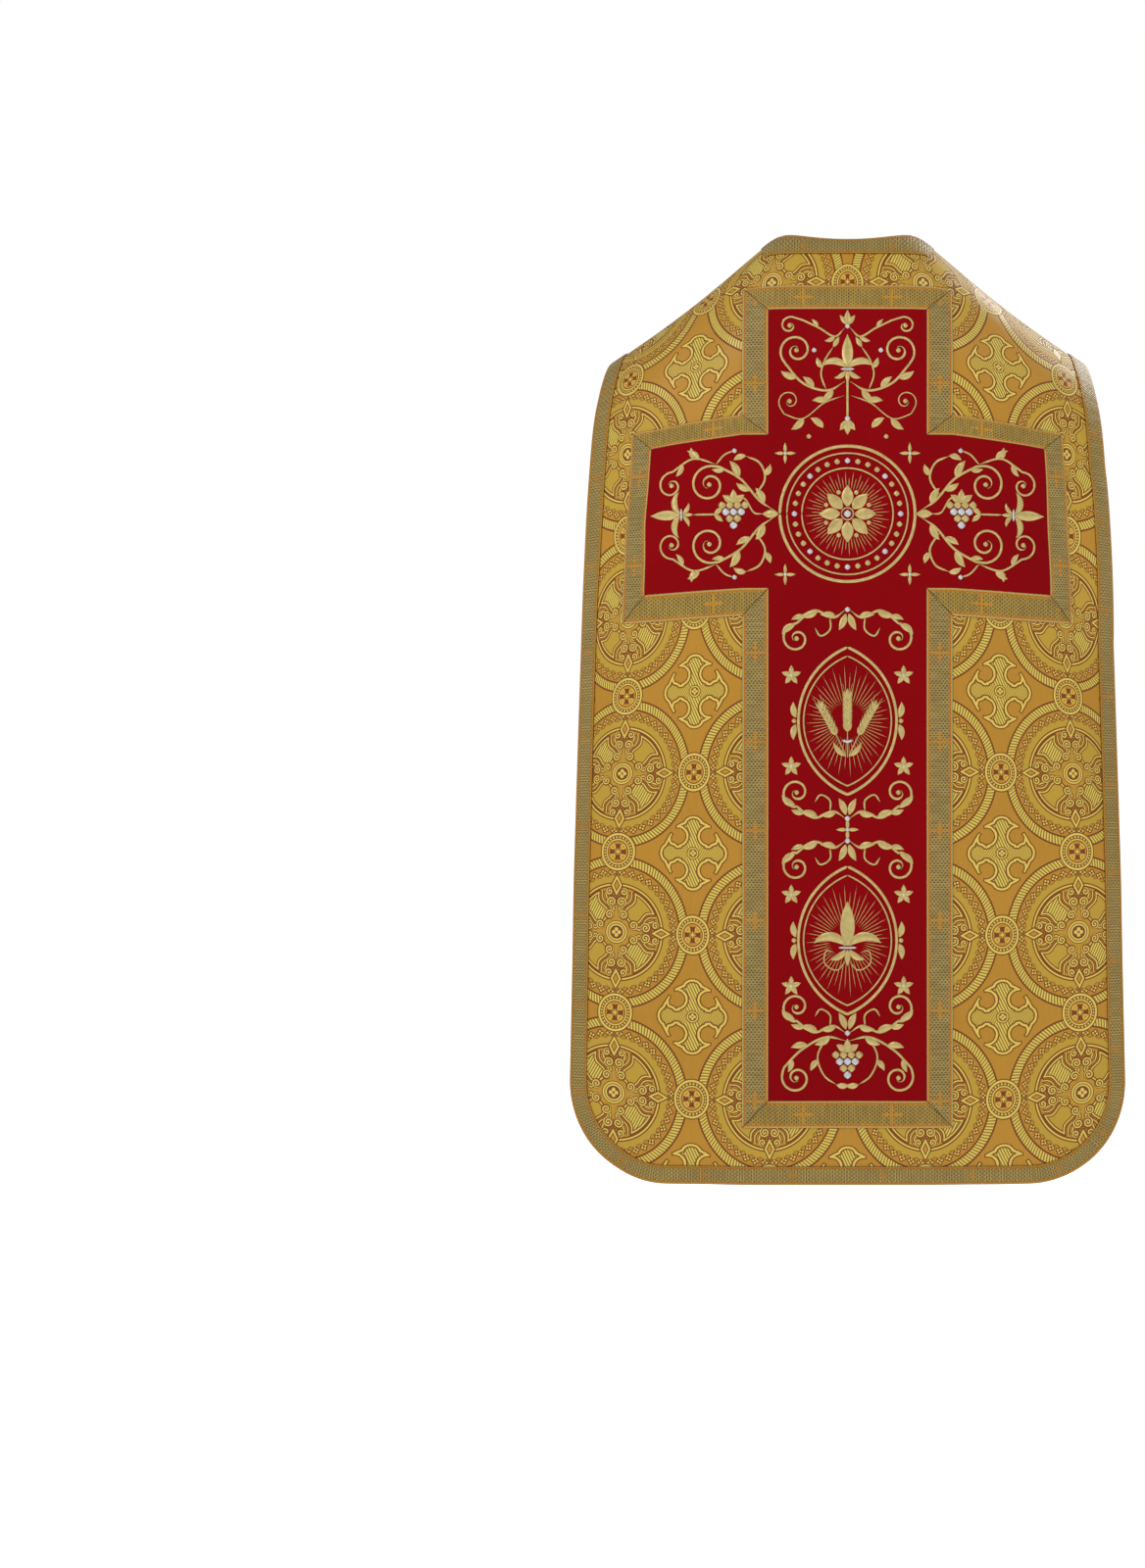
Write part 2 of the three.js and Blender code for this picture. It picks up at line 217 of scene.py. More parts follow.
def add_front_rows():
    hem = HEM[FRONT]["z"]
    corner = hem + HEM[FRONT]["round"]
    for drop, cells in ((6, 5), (24, 6), (53, 8)):
        rows.append(Row(FRONT, -drop, cells, drop=drop))
    for z, fall in ((-100, 0.55), (-155, 0.38), (-210, 0.2)):
        add_row(FRONT, z, 9, fall)
    add_row(FRONT, FRONT_NECK_Z, 10, name="crossbar top")
    add_row(FRONT, CROSSBAR_LOW, 11, name="crossbar low")
    add_even_rows(FRONT, (CROSSBAR_LOW, 0), (corner, 0), 9, 11)
    add_row(FRONT, corner, 8)
    add_row(FRONT, -975, 8)
    add_row(FRONT, hem + EDGE_TRIM, 8, name="front hem trim")
    add_row(FRONT, hem, 0, name="front hem")


add_back_rows()
add_front_rows()
ROW = {row.name: i for i, row in enumerate(rows) if row.name}
LAST_ROW = len(rows) - 1


def row_height(row, x):
    shoulder = ridge_height(x)
    if row.name == "ridge":
        return shoulder - np.maximum(0, 1 - (x / NECK_HALF) ** 2) * BACK_NECK_DIP
    if row.drop is not None:
        return np.minimum(row.z, shoulder - row.drop)
    leaning = row.fall / RIDGE_FALL * shoulder
    if row.side == FRONT:
        return row.z + leaning
    return row.z + np.minimum(0, leaning - row.fall / RIDGE_FALL * ridge_height(COLUMN_OUTER))


# ---- Side edges: centripetal curves through the points of the outline ----


def curve_points(outline, steps=40):
    knots = [np.array(p, float) for p in outline]
    knots = [2 * knots[0] - knots[1], *knots, 2 * knots[-1] - knots[-2]]
    made = []
    for p0, p1, p2, p3 in zip(knots, knots[1:], knots[2:], knots[3:]):
        d0, d1, d2 = (math.sqrt(np.linalg.norm(b - a)) for a, b in ((p0, p1), (p1, p2), (p2, p3)))
        start = ((p1 - p0) / d0 - (p2 - p0) / (d0 + d1) + (p2 - p1) / d1) * d1
        end = ((p2 - p1) / d1 - (p3 - p1) / (d1 + d2) + (p3 - p2) / d2) * d1
        for i in range(steps):
            t = i / steps
            made.append(p1 * (2 * t**3 - 3 * t**2 + 1) + start * (t**3 - 2 * t**2 + t)
                        + p2 * (3 * t**2 - 2 * t**3) + end * (t**3 - t**2))
    return np.array([*made, knots[-2]])


def edge_table(outline):
    """Levels below the shoulder line, rising, and the half-width of the edge at each."""
    points = curve_points(outline)[::-1]
    return lift(points[:, 0], points[:, 1]), points[:, 0]


EDGE = {BACK: edge_table(BACK_EDGE), FRONT: edge_table(FRONT_EDGE)}


class Line:
    """One line of the fine grid: a row, or a share of the way to the next row."""

    def __init__(self, row, share):
        self.row, self.share = row, share
        self.side = rows[row].side if share == 0 else rows[row + 1].side
        self.edge = self.find_edge()

    def height(self, x):
        low = row_height(rows[self.row], x)
        if self.share == 0:
            return low
        return low + (row_height(rows[self.row + 1], x) - low) * self.share

    def find_edge(self):
        if rows[self.row].name == "ridge" and self.share == 0:
            return SHOULDER_TIP
        x = HEM[BACK]["half"]
        for _ in range(30):
            x = float(np.interp(lift(x, self.height(x)), *EDGE[self.side]))
        return x

    def neck(self):
        here = neck_columns(self.row)
        if self.share == 0:
            return here
        after = neck_columns(self.row + 1)
        return [a + (b - a) * self.share for a, b in zip(here, after)]

    def columns(self):
        """Half-widths of the nine main columns on this line."""
        reach = self.edge - EDGE_TRIM - COLUMN_OUTER
        arm = [COLUMN_OUTER + share * reach for share in ARM_SHARE]
        return [0, *self.neck(), COLUMN_OUTER, *arm, self.edge - EDGE_TRIM, self.edge]


def neck_columns(index):
    """Half-widths of the neck edge and of the line beside it on a row."""
    head, ridge = ROW["head outer"], ROW["ridge"]
    if index > ROW["crossbar top"] or index < head:
        return [COLUMN_INNER, COLUMN_RED]
    if rows[index].side == FRONT:
        half = NECK_HALF + (FRONT_NECK_HALF - NECK_HALF) * rows[index].z / FRONT_NECK_Z
        return [half, half + EDGE_TRIM]
    share = (index - head) / (ridge - head)
    return [COLUMN_INNER + (NECK_HALF - COLUMN_INNER) * share,
            COLUMN_RED + (NECK_HALF + EDGE_TRIM - COLUMN_RED) * share]


def shares(row, count):
    """Where the fine lines lie between a row and the next, closer beside the shoulder line."""
    even = np.arange(count) / count
    if row == ROW["ridge"] - 1:
        return 1 - (1 - even) ** 2
    return even**2 if row == ROW["ridge"] else even


# ---- Soft folds, placed one by one: troughs and ridges along short lines ----

FOLD_DEPTH = 1.3  # how much deeper the folds are than the table says
FOLDS = [  # side, from (x, z), to (x, z), half-breadth, depth (negative is a trough)
    (BACK, (-196, -470), (-222, -1010), 40, -4.2),
    (BACK, (-262, -520), (-288, -1085), 28, 3.4),
    (BACK, (214, -486), (203, -930), 44, -4.8),
    (BACK, (266, -430), (284, -1000), 30, 3.6),
    (BACK, (150, -860), (164, -1110), 30, -3.6),
    (BACK, (-146, -740), (-136, -1110), 36, -2.8),
    (BACK, (246, -960), (262, -1110), 24, -3.0),
    (BACK, (6, -560), (-4, -1060), 70, -2.2),
    (BACK, (150, -95), (262, -340), 24, -3.0),
    (BACK, (-136, -100), (-258, -296), 28, -3.4),
    (BACK, (-286, -300), (-300, -470), 20, 3.0),
    (BACK, (180, -330), (270, -365), 26, 2.2),
    (BACK, (-170, -300), (-250, -380), 30, -2.0),
    (BACK, (-40, -170), (50, -230), 60, 1.6),
    (FRONT, (-150, -330), (-214, -640), 30, -4.0),
    (FRONT, (158, -360), (226, -690), 34, -4.4),
    (FRONT, (-176, -620), (-190, -1050), 38, -3.6),
    (FRONT, (182, -720), (170, -1050), 36, -3.8),
    (FRONT, (-252, -700), (-266, -1020), 26, 3.2),
    (FRONT, (250, -640), (268, -1000), 28, 3.4),
    (FRONT, (0, -420), (8, -960), 60, -2.4),
    (FRONT, (128, -110), (176, -250), 22, -2.6),
    (FRONT, (-120, -96), (-184, -240), 24, -3.0),
    (FRONT, (-60, -300), (-150, -420), 26, 1.8),
    (FRONT, (110, -1050), (104, -860), 26, 2.2),
]


def relief(side, x, z):
    """How far the soft folds lift each point off the plain surface."""
    total = np.zeros_like(x)
    for fold_side, start, end, breadth, depth in FOLDS:
        along = np.array(end, float) - start
        share = ((x - start[0]) * along[0] + (z - start[1]) * along[1]) / (along @ along)
        near = np.clip(share, 0, 1)
        away = np.hypot(x - start[0] - near * along[0], z - start[1] - near * along[1])
        swell = np.sin(math.pi * np.clip(share * 0.8 + 0.14, 0, 1)) ** 0.7
        total += np.where(side == fold_side, depth * swell * np.exp(-((away / breadth) ** 2)), 0)
    fade = smooth(-lift(x, z) / 60)  # the shoulder line lies taut
    return FOLD_DEPTH * total * fade


# ---- The flat cut: where each point lay on the cloth before it was hung ----

BROCADE_WIDE, BROCADE_TALL = 177.0, 187.5
FRONT_PHASE = 33.0  # the front is cut from another place of the repeat
YOKE_SHIFT = (2.0, -30.0)  # how far the repeat slips on its way over the shoulder
SLIP_LENGTH = 240  # the length of cloth over which it slips
SIDE_SINK, SIDE_REACH = 45, 230  # how much shallower the back's arch is at its side


def arch_length(angle, depth):
    """Length along the elliptic bend of the shoulder, from its top."""
    pieces = 12
    total = 0
    for i in range(pieces):
        at = angle * (i + 0.5) / pieces
        total = total + np.hypot(ARCH_DROP * np.sin(at), depth * np.cos(at))
    return total * angle / pieces


def side_growth(side, x, z, edge):
    """How much longer the cloth is than its width seen from the front, out to x: two terms
    of the length of the curve that plane_y draws."""
    reach = edge - FLAT_MIDDLE
    share = np.maximum(0, np.abs(x) - FLAT_MIDDLE) / reach
    turn = np.tan(np.radians(at_height(side, 2, z)))
    return reach * (turn**2 * share**4 / 8 - turn**4 * share**7 / 56)


def flat_back(side, x, z, edge):
    """Flat place on the back cut, unrolled over the shoulder on the yokes."""
    cos, sin = math.cos(SHOULDER_SLOPE), math.sin(SHOULDER_SLOPE)
    half = np.abs(x)
    drop = -np.minimum(0, lift(x, z))
    angle = np.arccos(np.clip(1 - drop / ARCH_DROP, -1, 1) * (drop < ARCH_DROP))
    own = np.where(side == BACK, plane_y(BACK, x, z, edge), plane_y(FRONT, x, z, edge))
    sink = SIDE_SINK * np.clip((half - FLAT_MIDDLE) / SIDE_REACH, 0, 1) ** 2.5
    back_depth = at_height(BACK, 1, z) - ridge_y(x) - sink
    spare = arch_length(math.pi / 2, back_depth) - ARCH_DROP
    run = arch_length(angle, np.abs(own - ridge_y(x))) + np.maximum(0, drop - ARCH_DROP)
    run = np.where(side == BACK, -run, run)
    along = half * cos - z * sin
    across = half * sin + z * cos + drop + spare + run
    slip = smooth(run / SLIP_LENGTH + 0.5)
    flat_x = along * cos + across * sin + YOKE_SHIFT[0] * slip
    flat_x = flat_x + np.where(side == BACK, side_growth(BACK, x, z, edge), 0)
    flat_z = across * cos - along * sin + YOKE_SHIFT[1] * slip
    return np.stack([flat_x * np.sign(x), flat_z], axis=-1)


def flat_front(x, z, edge):
    growth = side_growth(FRONT, x, z, edge)
    return np.stack([x + np.sign(x) * growth, z + FRONT_PHASE], axis=-1)


# ---- Fine grid ----

COLUMN_CELLS = [10, 6, 10, 10, 10, 10, 6]  # fine cells between one main column and the next
RIM_CELLS = 8
RIM_COLUMN = len(COLUMN_CELLS)


def bend_corner(side, x, z):
    """Bends the square corner inside the hem trim into a round one."""
    hem = HEM[side]
    radius = hem["round"] - EDGE_TRIM
    middle_x, middle_z = hem["half"] - hem["round"], hem["z"] + hem["round"]
    u, v = np.maximum(0, (x - middle_x) / radius), np.maximum(0, (middle_z - z) / radius)
    bent = (u > 0) & (v > 0)
    return (np.where(bent, middle_x + radius * u * np.sqrt(1 - v * v / 2), x),
            np.where(bent, middle_z - radius * v * np.sqrt(np.maximum(0, 1 - u * u / 2)), z))


def out_to_edge(side, x, z):
    """Carries a point of the trim's inner line at a hem or corner square out to the edge."""
    hem = HEM[side]
    middle_x, middle_z = hem["half"] - hem["round"], hem["z"] + hem["round"]
    if x <= middle_x:
        return x, z - EDGE_TRIM
    scale = hem["round"] / math.hypot(x - middle_x, z - middle_z)
    return middle_x + (x - middle_x) * scale, middle_z + (z - middle_z) * scale


# One face of the fine grid, with the main column and the row that it lies in and its hand
Cell = namedtuple("Cell", "corners step row sign rim")
# What is kept for each point: place, side, half-width of its line, number of its column (q) and
# row (p), share of the way across the edge trim (t) and distance round the edge (s)
POINT_VALUES = ("x", "z", "side", "edge", "q", "p", "t", "s")


class Cloth:
    """Points, normals and cells of the whole surface; `thin` above 1 gives wider cells."""

    def __init__(self, thin=1):
        self.thin = thin
        for name in POINT_VALUES:
            setattr(self, name, [])
        self.cells = []
        self.lines = self.make_lines()
        self.columns = self.make_columns()
        self.add_grid()
        self.add_rim()
        for name in POINT_VALUES:
            setattr(self, name, np.array(getattr(self, name), float))
        back = on_cloth(BACK, self.x, self.z, self.edge)
        front = on_cloth(FRONT, self.x, self.z, self.edge)
        self.points = np.where((self.side == BACK)[:, None], back, front)
        self.normals = self.find_normals()
        self.points += self.normals * relief(self.side, self.x, self.z)[:, None]
        self.normals = self.find_normals()

    def count(self, cells):
        return max(1, math.ceil(cells / self.thin))

    def make_lines(self):
        lines = []
        for index in range(1, LAST_ROW - 1):
            for share in shares(index, self.count(rows[index].cells)):
                lines.append(Line(index, float(share)))
        return [*lines, Line(LAST_ROW - 1, 0.0)]

    def make_columns(self):
        half = []
        for column, cells in enumerate(COLUMN_CELLS):
            count = self.count(cells)
            half += [column + i / count for i in range(count)]
        half.append(float(RIM_COLUMN))
        return [-q for q in half[:0:-1]] + half

    def add_point(self, x, z, side, edge, q, p, t=0.0, s=0.0):
        for name, value in zip(POINT_VALUES, (x, z, side, edge, q, p, t, s)):
            getattr(self, name).append(value)
        return len(self.x) - 1

    def add_grid(self):
        wide = len(self.columns)
        q = np.array(self.columns)
        for line in self.lines:
            half = np.interp(np.abs(q), range(RIM_COLUMN + 2), line.columns())
            x, z = bend_corner(line.side, half, line.height(half))
            for i in range(wide):
                sign = 1 if q[i] >= 0 else -1
                self.add_point(sign * x[i], z[i], line.side, max(line.edge, x[i]), q[i],
                               line.row + line.share)
        for j in range(len(self.lines) - 1):
            row = self.lines[j].row
            for i in range(wide - 1):
                a = j * wide + i
                middle = (q[i] + q[i + 1]) / 2
                corners = (a, a + wide, a + wide + 1, a + 1)
                sign = 1 if middle > 0 else -1
                self.cells.append(Cell(corners, int(abs(middle)), row, sign, False))

    def loop(self):
        """The trim's inner line as (point, line) pairs: back hem, +X side, front hem, -X side."""
        wide, tall = len(self.columns), len(self.lines)
        round_trip = [(i, 0, 0) for i in range(wide)]
        round_trip += [(j * wide + wide - 1, j, None) for j in range(1, tall)]
        last = (tall - 1) * wide
        round_trip += [(last + i, tall - 1, LAST_ROW - 1) for i in range(wide - 2, -1, -1)]
        round_trip += [(j * wide, j, None) for j in range(tall - 2, 0, -1)]
        return round_trip

    def add_rim(self):
        """Spokes from the trim's inner line out to the garment's edge."""
        steps = self.count(RIM_CELLS)
        spokes, run, before = [], 0.0, None
        trip = self.loop()
        for point, j, hem_row in trip:
            line = self.lines[j]
            x, z = abs(self.x[point]), self.z[point]
            hem = HEM[line.side]
            beside = hem_row is None and z >= hem["z"] + hem["round"] - 0.01
            if beside:
                outer_x, outer_z = line.edge, float(line.height(line.edge))
            else:
                outer_x, outer_z = out_to_edge(line.side, x, z)
            sign = math.copysign(1, self.q[point])
            here = np.array([sign * outer_x, outer_z, 0])
            run += 0 if before is None else float(np.linalg.norm(here - before))
            before = here
            self.s[point] = run
            spoke = [point]
            for k in range(1, steps + 1):
                t = k / steps
                far_x, far_z = x + (outer_x - x) * t, z + (outer_z - z) * t
                spoke.append(self.add_point(sign * far_x, far_z, line.side, max(line.edge, far_x),
                                            sign * RIM_COLUMN, self.p[point], t, run))
            spokes.append(spoke)
        self.round_length = run + 3
        for k, ((_, j, row), spoke) in enumerate(zip(trip, spokes)):
            after = spokes[(k + 1) % len(spokes)]
            next_j, next_row = trip[(k + 1) % len(trip)][1:]
            on_hem = row is not None and next_row == row
            cell_row = row if on_hem else self.lines[min(j, next_j)].row
            sign = 1 if self.q[spoke[0]] + self.q[after[0]] > 0 else -1
            for i in range(steps):
                corners = (spoke[i], after[i], after[i + 1], spoke[i + 1])
                self.cells.append(Cell(corners, RIM_COLUMN, cell_row, sign, True))

    def find_normals(self):
        quads = np.array([cell.corners for cell in self.cells])
        a, b, c, d = (self.points[quads[:, i]] for i in range(4))
        face = np.cross(c - a, d - b)
        normals = np.zeros_like(self.points)
        for i in range(4):
            np.add.at(normals, quads[:, i], face)
        return normals / np.linalg.norm(normals, axis=1, keepdims=True)

    def flat(self, cut):
        if cut == FRONT:
            return flat_front(self.x, self.z, self.edge)
        return flat_back(self.side, self.x, self.z, self.edge)

    def chosen(self, rule):
        """Cells for which the rule holds, without those of the neck opening."""
        found = []
        for cell in self.cells:
            in_neck = ROW["ridge"] <= cell.row < ROW["crossbar top"] and cell.step < 1
            if not in_neck and rule(cell):
                found.append(cell)
        return found


# ---- Cells of each piece ----


def between(cell, low, high):
    return ROW[low] <= cell.row < ROW[high]


def is_back_cut(cell):
    return cell.row < ROW["crossbar top"]


def is_front_cut(cell):
    return cell.row >= ROW["crossbar top"]


def is_cross_red(cell):
    upright = cell.step < 2 and between(cell, "foot", "head")
    return upright or (cell.step < 5 and between(cell, "arm low", "arm top"))


def is_cross_area(cell):
    upright = cell.step <= 2 and between(cell, "foot outer", "head outer")
    return upright or (cell.step <= 5 and between(cell, "arm low outer", "arm top outer"))


def is_cross_galloon(cell):
    return is_cross_area(cell) and not is_cross_red(cell)


def is_front_column(cell):
    return between(cell, "crossbar low", "front hem trim")


def is_neck_trim(cell):
    back = cell.step < 2 and between(cell, "back neck trim", "ridge")
    return back or (cell.step == 1 and between(cell, "ridge", "crossbar top"))


# ---- Meshes ----

CLOTH_UV, SEAM_MARK = "UVMap", "seam"  # the UV map, and the attribute that marks a mitre


def add_object(name, data):
    made = bpy.data.objects.new(name, data)
    bpy.context.scene.collection.objects.link(made)
    return made


def new_object(name, vertices, faces, uvs, material, sharp=55):
    """A mesh object in metres from points in millimetres, with one UV for each face corner."""
    mesh = bpy.data.meshes.new(name)
    mesh.from_pydata((np.asarray(vertices) * MM).tolist(), [], faces)
    layer = mesh.uv_layers.new(name=CLOTH_UV)
    layer.data.foreach_set("uv", (np.asarray(uvs, float).reshape(-1) * MM))
    mesh.polygons.foreach_set("use_smooth", [True] * len(mesh.polygons))
    mesh.set_sharp_from_angle(angle=math.radians(sharp))
    mesh.materials.append(material)
    return add_object(name, mesh)


def border_edges(polygons):
    used = {}
    for corners in polygons:
        for i, start in enumerate(corners):
            used[(start, corners[(i + 1) % len(corners)])] = True
    return [pair for pair in used if (pair[1], pair[0]) not in used]


def shell(cloth, name, polygons, uvs, faces_at, material, soften=0.0, seam=(), lip=None):
    """A closed thin wall over some polygons of the cloth. `soften` lowers its border, the
    points of `seam` are drawn in, and `lip` rolls it round the garment's edge."""
    inner_at, outer_at = faces_at
    used = sorted({point for corners in polygons for point in corners})
    number = {point: i for i, point in enumerate(used)}
    ids = np.array(used)
    base, normals = cloth.points[ids], cloth.normals[ids]
    border = border_edges(polygons)
    inward = np.zeros_like(base)
    for start, end in border:
        along = cloth.points[end] - cloth.points[start]
        for point in (start, end):
            across = np.cross(cloth.normals[point], along)
            inward[number[point]] += across / np.linalg.norm(across)
    length = np.linalg.norm(inward, axis=1, keepdims=True)
    inward /= np.maximum(length, 1e-9)
    steps = np.full(len(ids), HALF_SEAM)
    outer, inner = np.full(len(ids), float(outer_at)), np.full(len(ids), float(inner_at))
    on_border = length[:, 0] > 0
    outer[on_border] -= soften
    outer[[point in seam for point in used]] -= SEAM_DEPTH
    if lip is not None:
        rolled = cloth.t[ids] > 0.999
        steps[rolled], inner[rolled] = lip
    base = base + inward * steps[:, None]
    vertices = np.concatenate([base + normals * outer[:, None], base + normals * inner[:, None]])
    count = len(ids)
    faces, corners_uv = [], []
    uv_at = {}
    for corners, uv in zip(polygons, uvs):
        own = [number[point] for point in corners]
        faces.append(own)
        corners_uv += uv
        faces.append([i + count for i in reversed(own)])
        corners_uv += list(reversed(uv))
        for i, start in enumerate(corners):
            end = corners[(i + 1) % len(corners)]
            uv_at[(start, end)] = (uv[i], uv[(i + 1) % len(corners)])
    for start, end in border:
        a, b = number[start], number[end]
        faces.append([b, a, a + count, b + count])
        start_uv, end_uv = uv_at[(start, end)]
        corners_uv += [end_uv, start_uv, start_uv, end_uv]
    made = new_object(name, vertices, faces, corners_uv, material)
    if seam:
        marks = made.data.attributes.new(SEAM_MARK, "FLOAT", "POINT")
        values = [float(point in seam) for point in used]
        marks.data.foreach_set("value", values + values)
    return made


# ---- Galloons: each runs along its strip, with a mitre where two strips meet ----

WIDE, NARROW = 30.0, 20.0  # woven widths of the two galloons


def strip_uv(cloth, point, direction, span, across_range):
    """Across from -half to half and along, in millimetres, for a point of a strip."""
    low, high = across_range
    value = abs(cloth.q[point]) if direction == "up" else cloth.p[point]
    across = ((value - low) / (high - low) - 0.5) * span
    along = cloth.z[point] if direction == "up" else cloth.x[point]
    return [across, along]


def cross_strip(cell, q, p):
    """Direction and range of the galloon round the cross at a place of a cell."""
    level = {
        ROW["foot outer"]: (ROW["foot"], ROW["foot outer"]),
        ROW["arm low outer"]: (ROW["arm low"], ROW["arm low outer"]),
        ROW["arm top"]: (ROW["arm top"], ROW["arm top outer"]),
        ROW["head"]: (ROW["head"], ROW["head outer"]),
    }.get(cell.row)
    upright = {2: (2, 3), 5: (5, 6)}.get(cell.step)
    if level is None:
        return "up", upright
    if upright is None:
        return "along", level
    out = (q - upright[0]) / (upright[1] - upright[0])
    off = (p - level[0]) / (level[1] - level[0])
    inside_corner = cell.step == 2 and cell.row in (ROW["arm low outer"], ROW["arm top"])
    nearer_upright = out < off if inside_corner else out > off
    return ("up", upright) if nearer_upright else ("along", level)


MITRE_ROWS = (ROW["foot outer"], ROW["arm low outer"], ROW["arm top"], ROW["head"])


def mitred_polygons(cloth, cells):
    """Polygons and UVs of the galloon round the cross, split along its mitres."""
    polygons, uvs, seam, level = [], [], set(), []
    for cell in cells:
        q = [abs(cloth.q[point]) for point in cell.corners]
        p = [cloth.p[point] for point in cell.corners]
        parts = [cell.corners]
        if cell.step in (2, 5) and cell.row in MITRE_ROWS:
            across = [value - cell.step for value in q]
            rising = cell.row in (ROW["arm top"], ROW["head"])
            up = [value - cell.row if rising else 1 - (value - cell.row) for value in p]
            even = [abs(a - b) < 1e-6 for a, b in zip(across, up)]
            for first in (0, 1):
                if even[first] and even[first + 2]:
                    order = cell.corners[first:] + cell.corners[:first]
                    parts = [order[:3], (order[0], order[2], order[3])]
                    seam.update((cell.corners[first], cell.corners[first + 2]))
        for part in parts:
            middle_q = sum(abs(cloth.q[point]) for point in part) / len(part)
            middle_p = sum(cloth.p[point] for point in part) / len(part)
            direction, across_range = cross_strip(cell, middle_q, middle_p)
            polygons.append(part)
            level.append(direction == "along")
            uvs.append([strip_uv(cloth, point, direction, WIDE, across_range) for point in part])
    return polygons, uvs, seam, level


def cross_galloon(cloth, name, material, sheen_level_material):
    """The frame round the cross; its level strips catch the light in another colour."""
    polygons, uvs, seam, level = mitred_polygons(cloth, cloth.chosen(is_cross_galloon))
    made = shell(cloth, name, polygons, uvs, GALLOON, material, soften=BORDER_SINK,
                 seam=seam)
    # The level strips take the galloon's copy whose colours are painted sheen, the light that
    # these strips catch.
    made.data.materials.append(sheen_level_material)
    for i, is_level in enumerate(level):
        made.data.polygons[2 * i].material_index = int(is_level)  # the outer face of each pair
    return made

def braid(cloth, name, cells, place, material, **options):
    """A galloon over some cells; `place` gives each point's distances across and along it."""
    polygons = [cell.corners for cell in cells]
    uvs = [[place(cell, point) for point in cell.corners] for cell in cells]
    return shell(cloth, name, polygons, uvs, GALLOON, material, soften=BORDER_SINK, **options)


def strip_galloon(cloth, name, rule, direction, across_range, material):
    def place(_, point):
        return strip_uv(cloth, point, direction, WIDE, across_range)

    return braid(cloth, name, cloth.chosen(rule), place, material)


def neck_galloon(cloth, name, material):
    def place(cell, point):
        if cell.row < ROW["ridge"]:
            return strip_uv(cloth, point, "along", NARROW, (ROW["back neck trim"], ROW["ridge"]))
        return strip_uv(cloth, point, "up", NARROW, (1, 2))

    return braid(cloth, name, cloth.chosen(is_neck_trim), place, material)


def edge_galloon(cloth, name, material):
    """The narrow galloon round the whole edge, rolled over it and under the lining."""
    def place(cell, point):
        along = cloth.s[point]
        if along < 1 and max(cloth.s[list(cell.corners)]) > cloth.round_length / 2:
            along += cloth.round_length  # the loop closes in this cell
        return [(cloth.t[point] - 0.5) * NARROW, along]

    cells = cloth.chosen(lambda cell: cell.rim)
    return braid(cloth, name, cells, place, material, lip=EDGE_LIP)


# ---- Fields: numbers worked out at every point of a surface by Math nodes ----


class Field:
    """A number at each point; + - * / work between fields and plain numbers."""

    def __init__(self, tree, socket):
        self.tree, self.socket = tree, socket

    def node(self, operation, *values, clamp=False):
        made = self.tree.nodes.new("ShaderNodeMath")
        made.operation, made.use_clamp = operation, clamp
        for socket, value in zip(made.inputs, values):
            if isinstance(value, Field):
                self.tree.links.new(value.socket, socket)
            else:
                socket.default_value = value
        return Field(self.tree, made.outputs[0])


def add_operator(name, operation):
    setattr(Field, f"__{name}__", lambda self, other: self.node(operation, self, other))
    setattr(Field, f"__r{name}__", lambda self, other: self.node(operation, other, self))


for python_name, node_name in (("add", "ADD"), ("sub", "SUBTRACT"), ("mul", "MULTIPLY"),
                               ("truediv", "DIVIDE")):
    add_operator(python_name, node_name)


def lowest(first, *others):
    for other in others:
        first = first.node("MINIMUM", first, other)
    return first


def highest(first, *others):
    for other in others:
        first = first.node("MAXIMUM", first, other)
    return first


def size_of(field):
    return field.node("ABSOLUTE", field)


def far_near(first, second):
    """The larger and the smaller of two sizes."""
    first, second = size_of(first), size_of(second)
    return highest(first, second), lowest(first, second)


def part_of(field):
    """The fraction past the whole number below."""
    return field.node("FRACT", field)


def from_middle(field, pitch):
    """How far a field lies from the middle of its repeat."""
    return (part_of(field / pitch) - 0.5) * pitch


def length_of(first, second):
    return first.node("SQRT", first * first + second * second)


def angle_of(across, up):
    return across.node("ARCTAN2", up, across)


def sine_of(field):
    return field.node("SINE", field)


def within(distance, soft=0.5):
    """1 where a distance is negative, 0 where it is positive, over a soft edge."""
    return distance.node("MULTIPLY_ADD", distance, -1.0 / soft, 0.5, clamp=True)


def stroke(distance, width, soft=0.5):
    """A line of a width along a distance's zero."""
    return within(size_of(distance) - width / 2, soft)


# ---- Materials ----

TURN = 2 * math.pi


def colour(code):
    """Linear colour from a six-digit sRGB code."""
    channels = [int(code[i:i + 2], 16) / 255 for i in (0, 2, 4)]
    return [c / 12.92 if c <= 0.04045 else ((c + 0.055) / 1.055) ** 2.4 for c in channels] + [1.0]


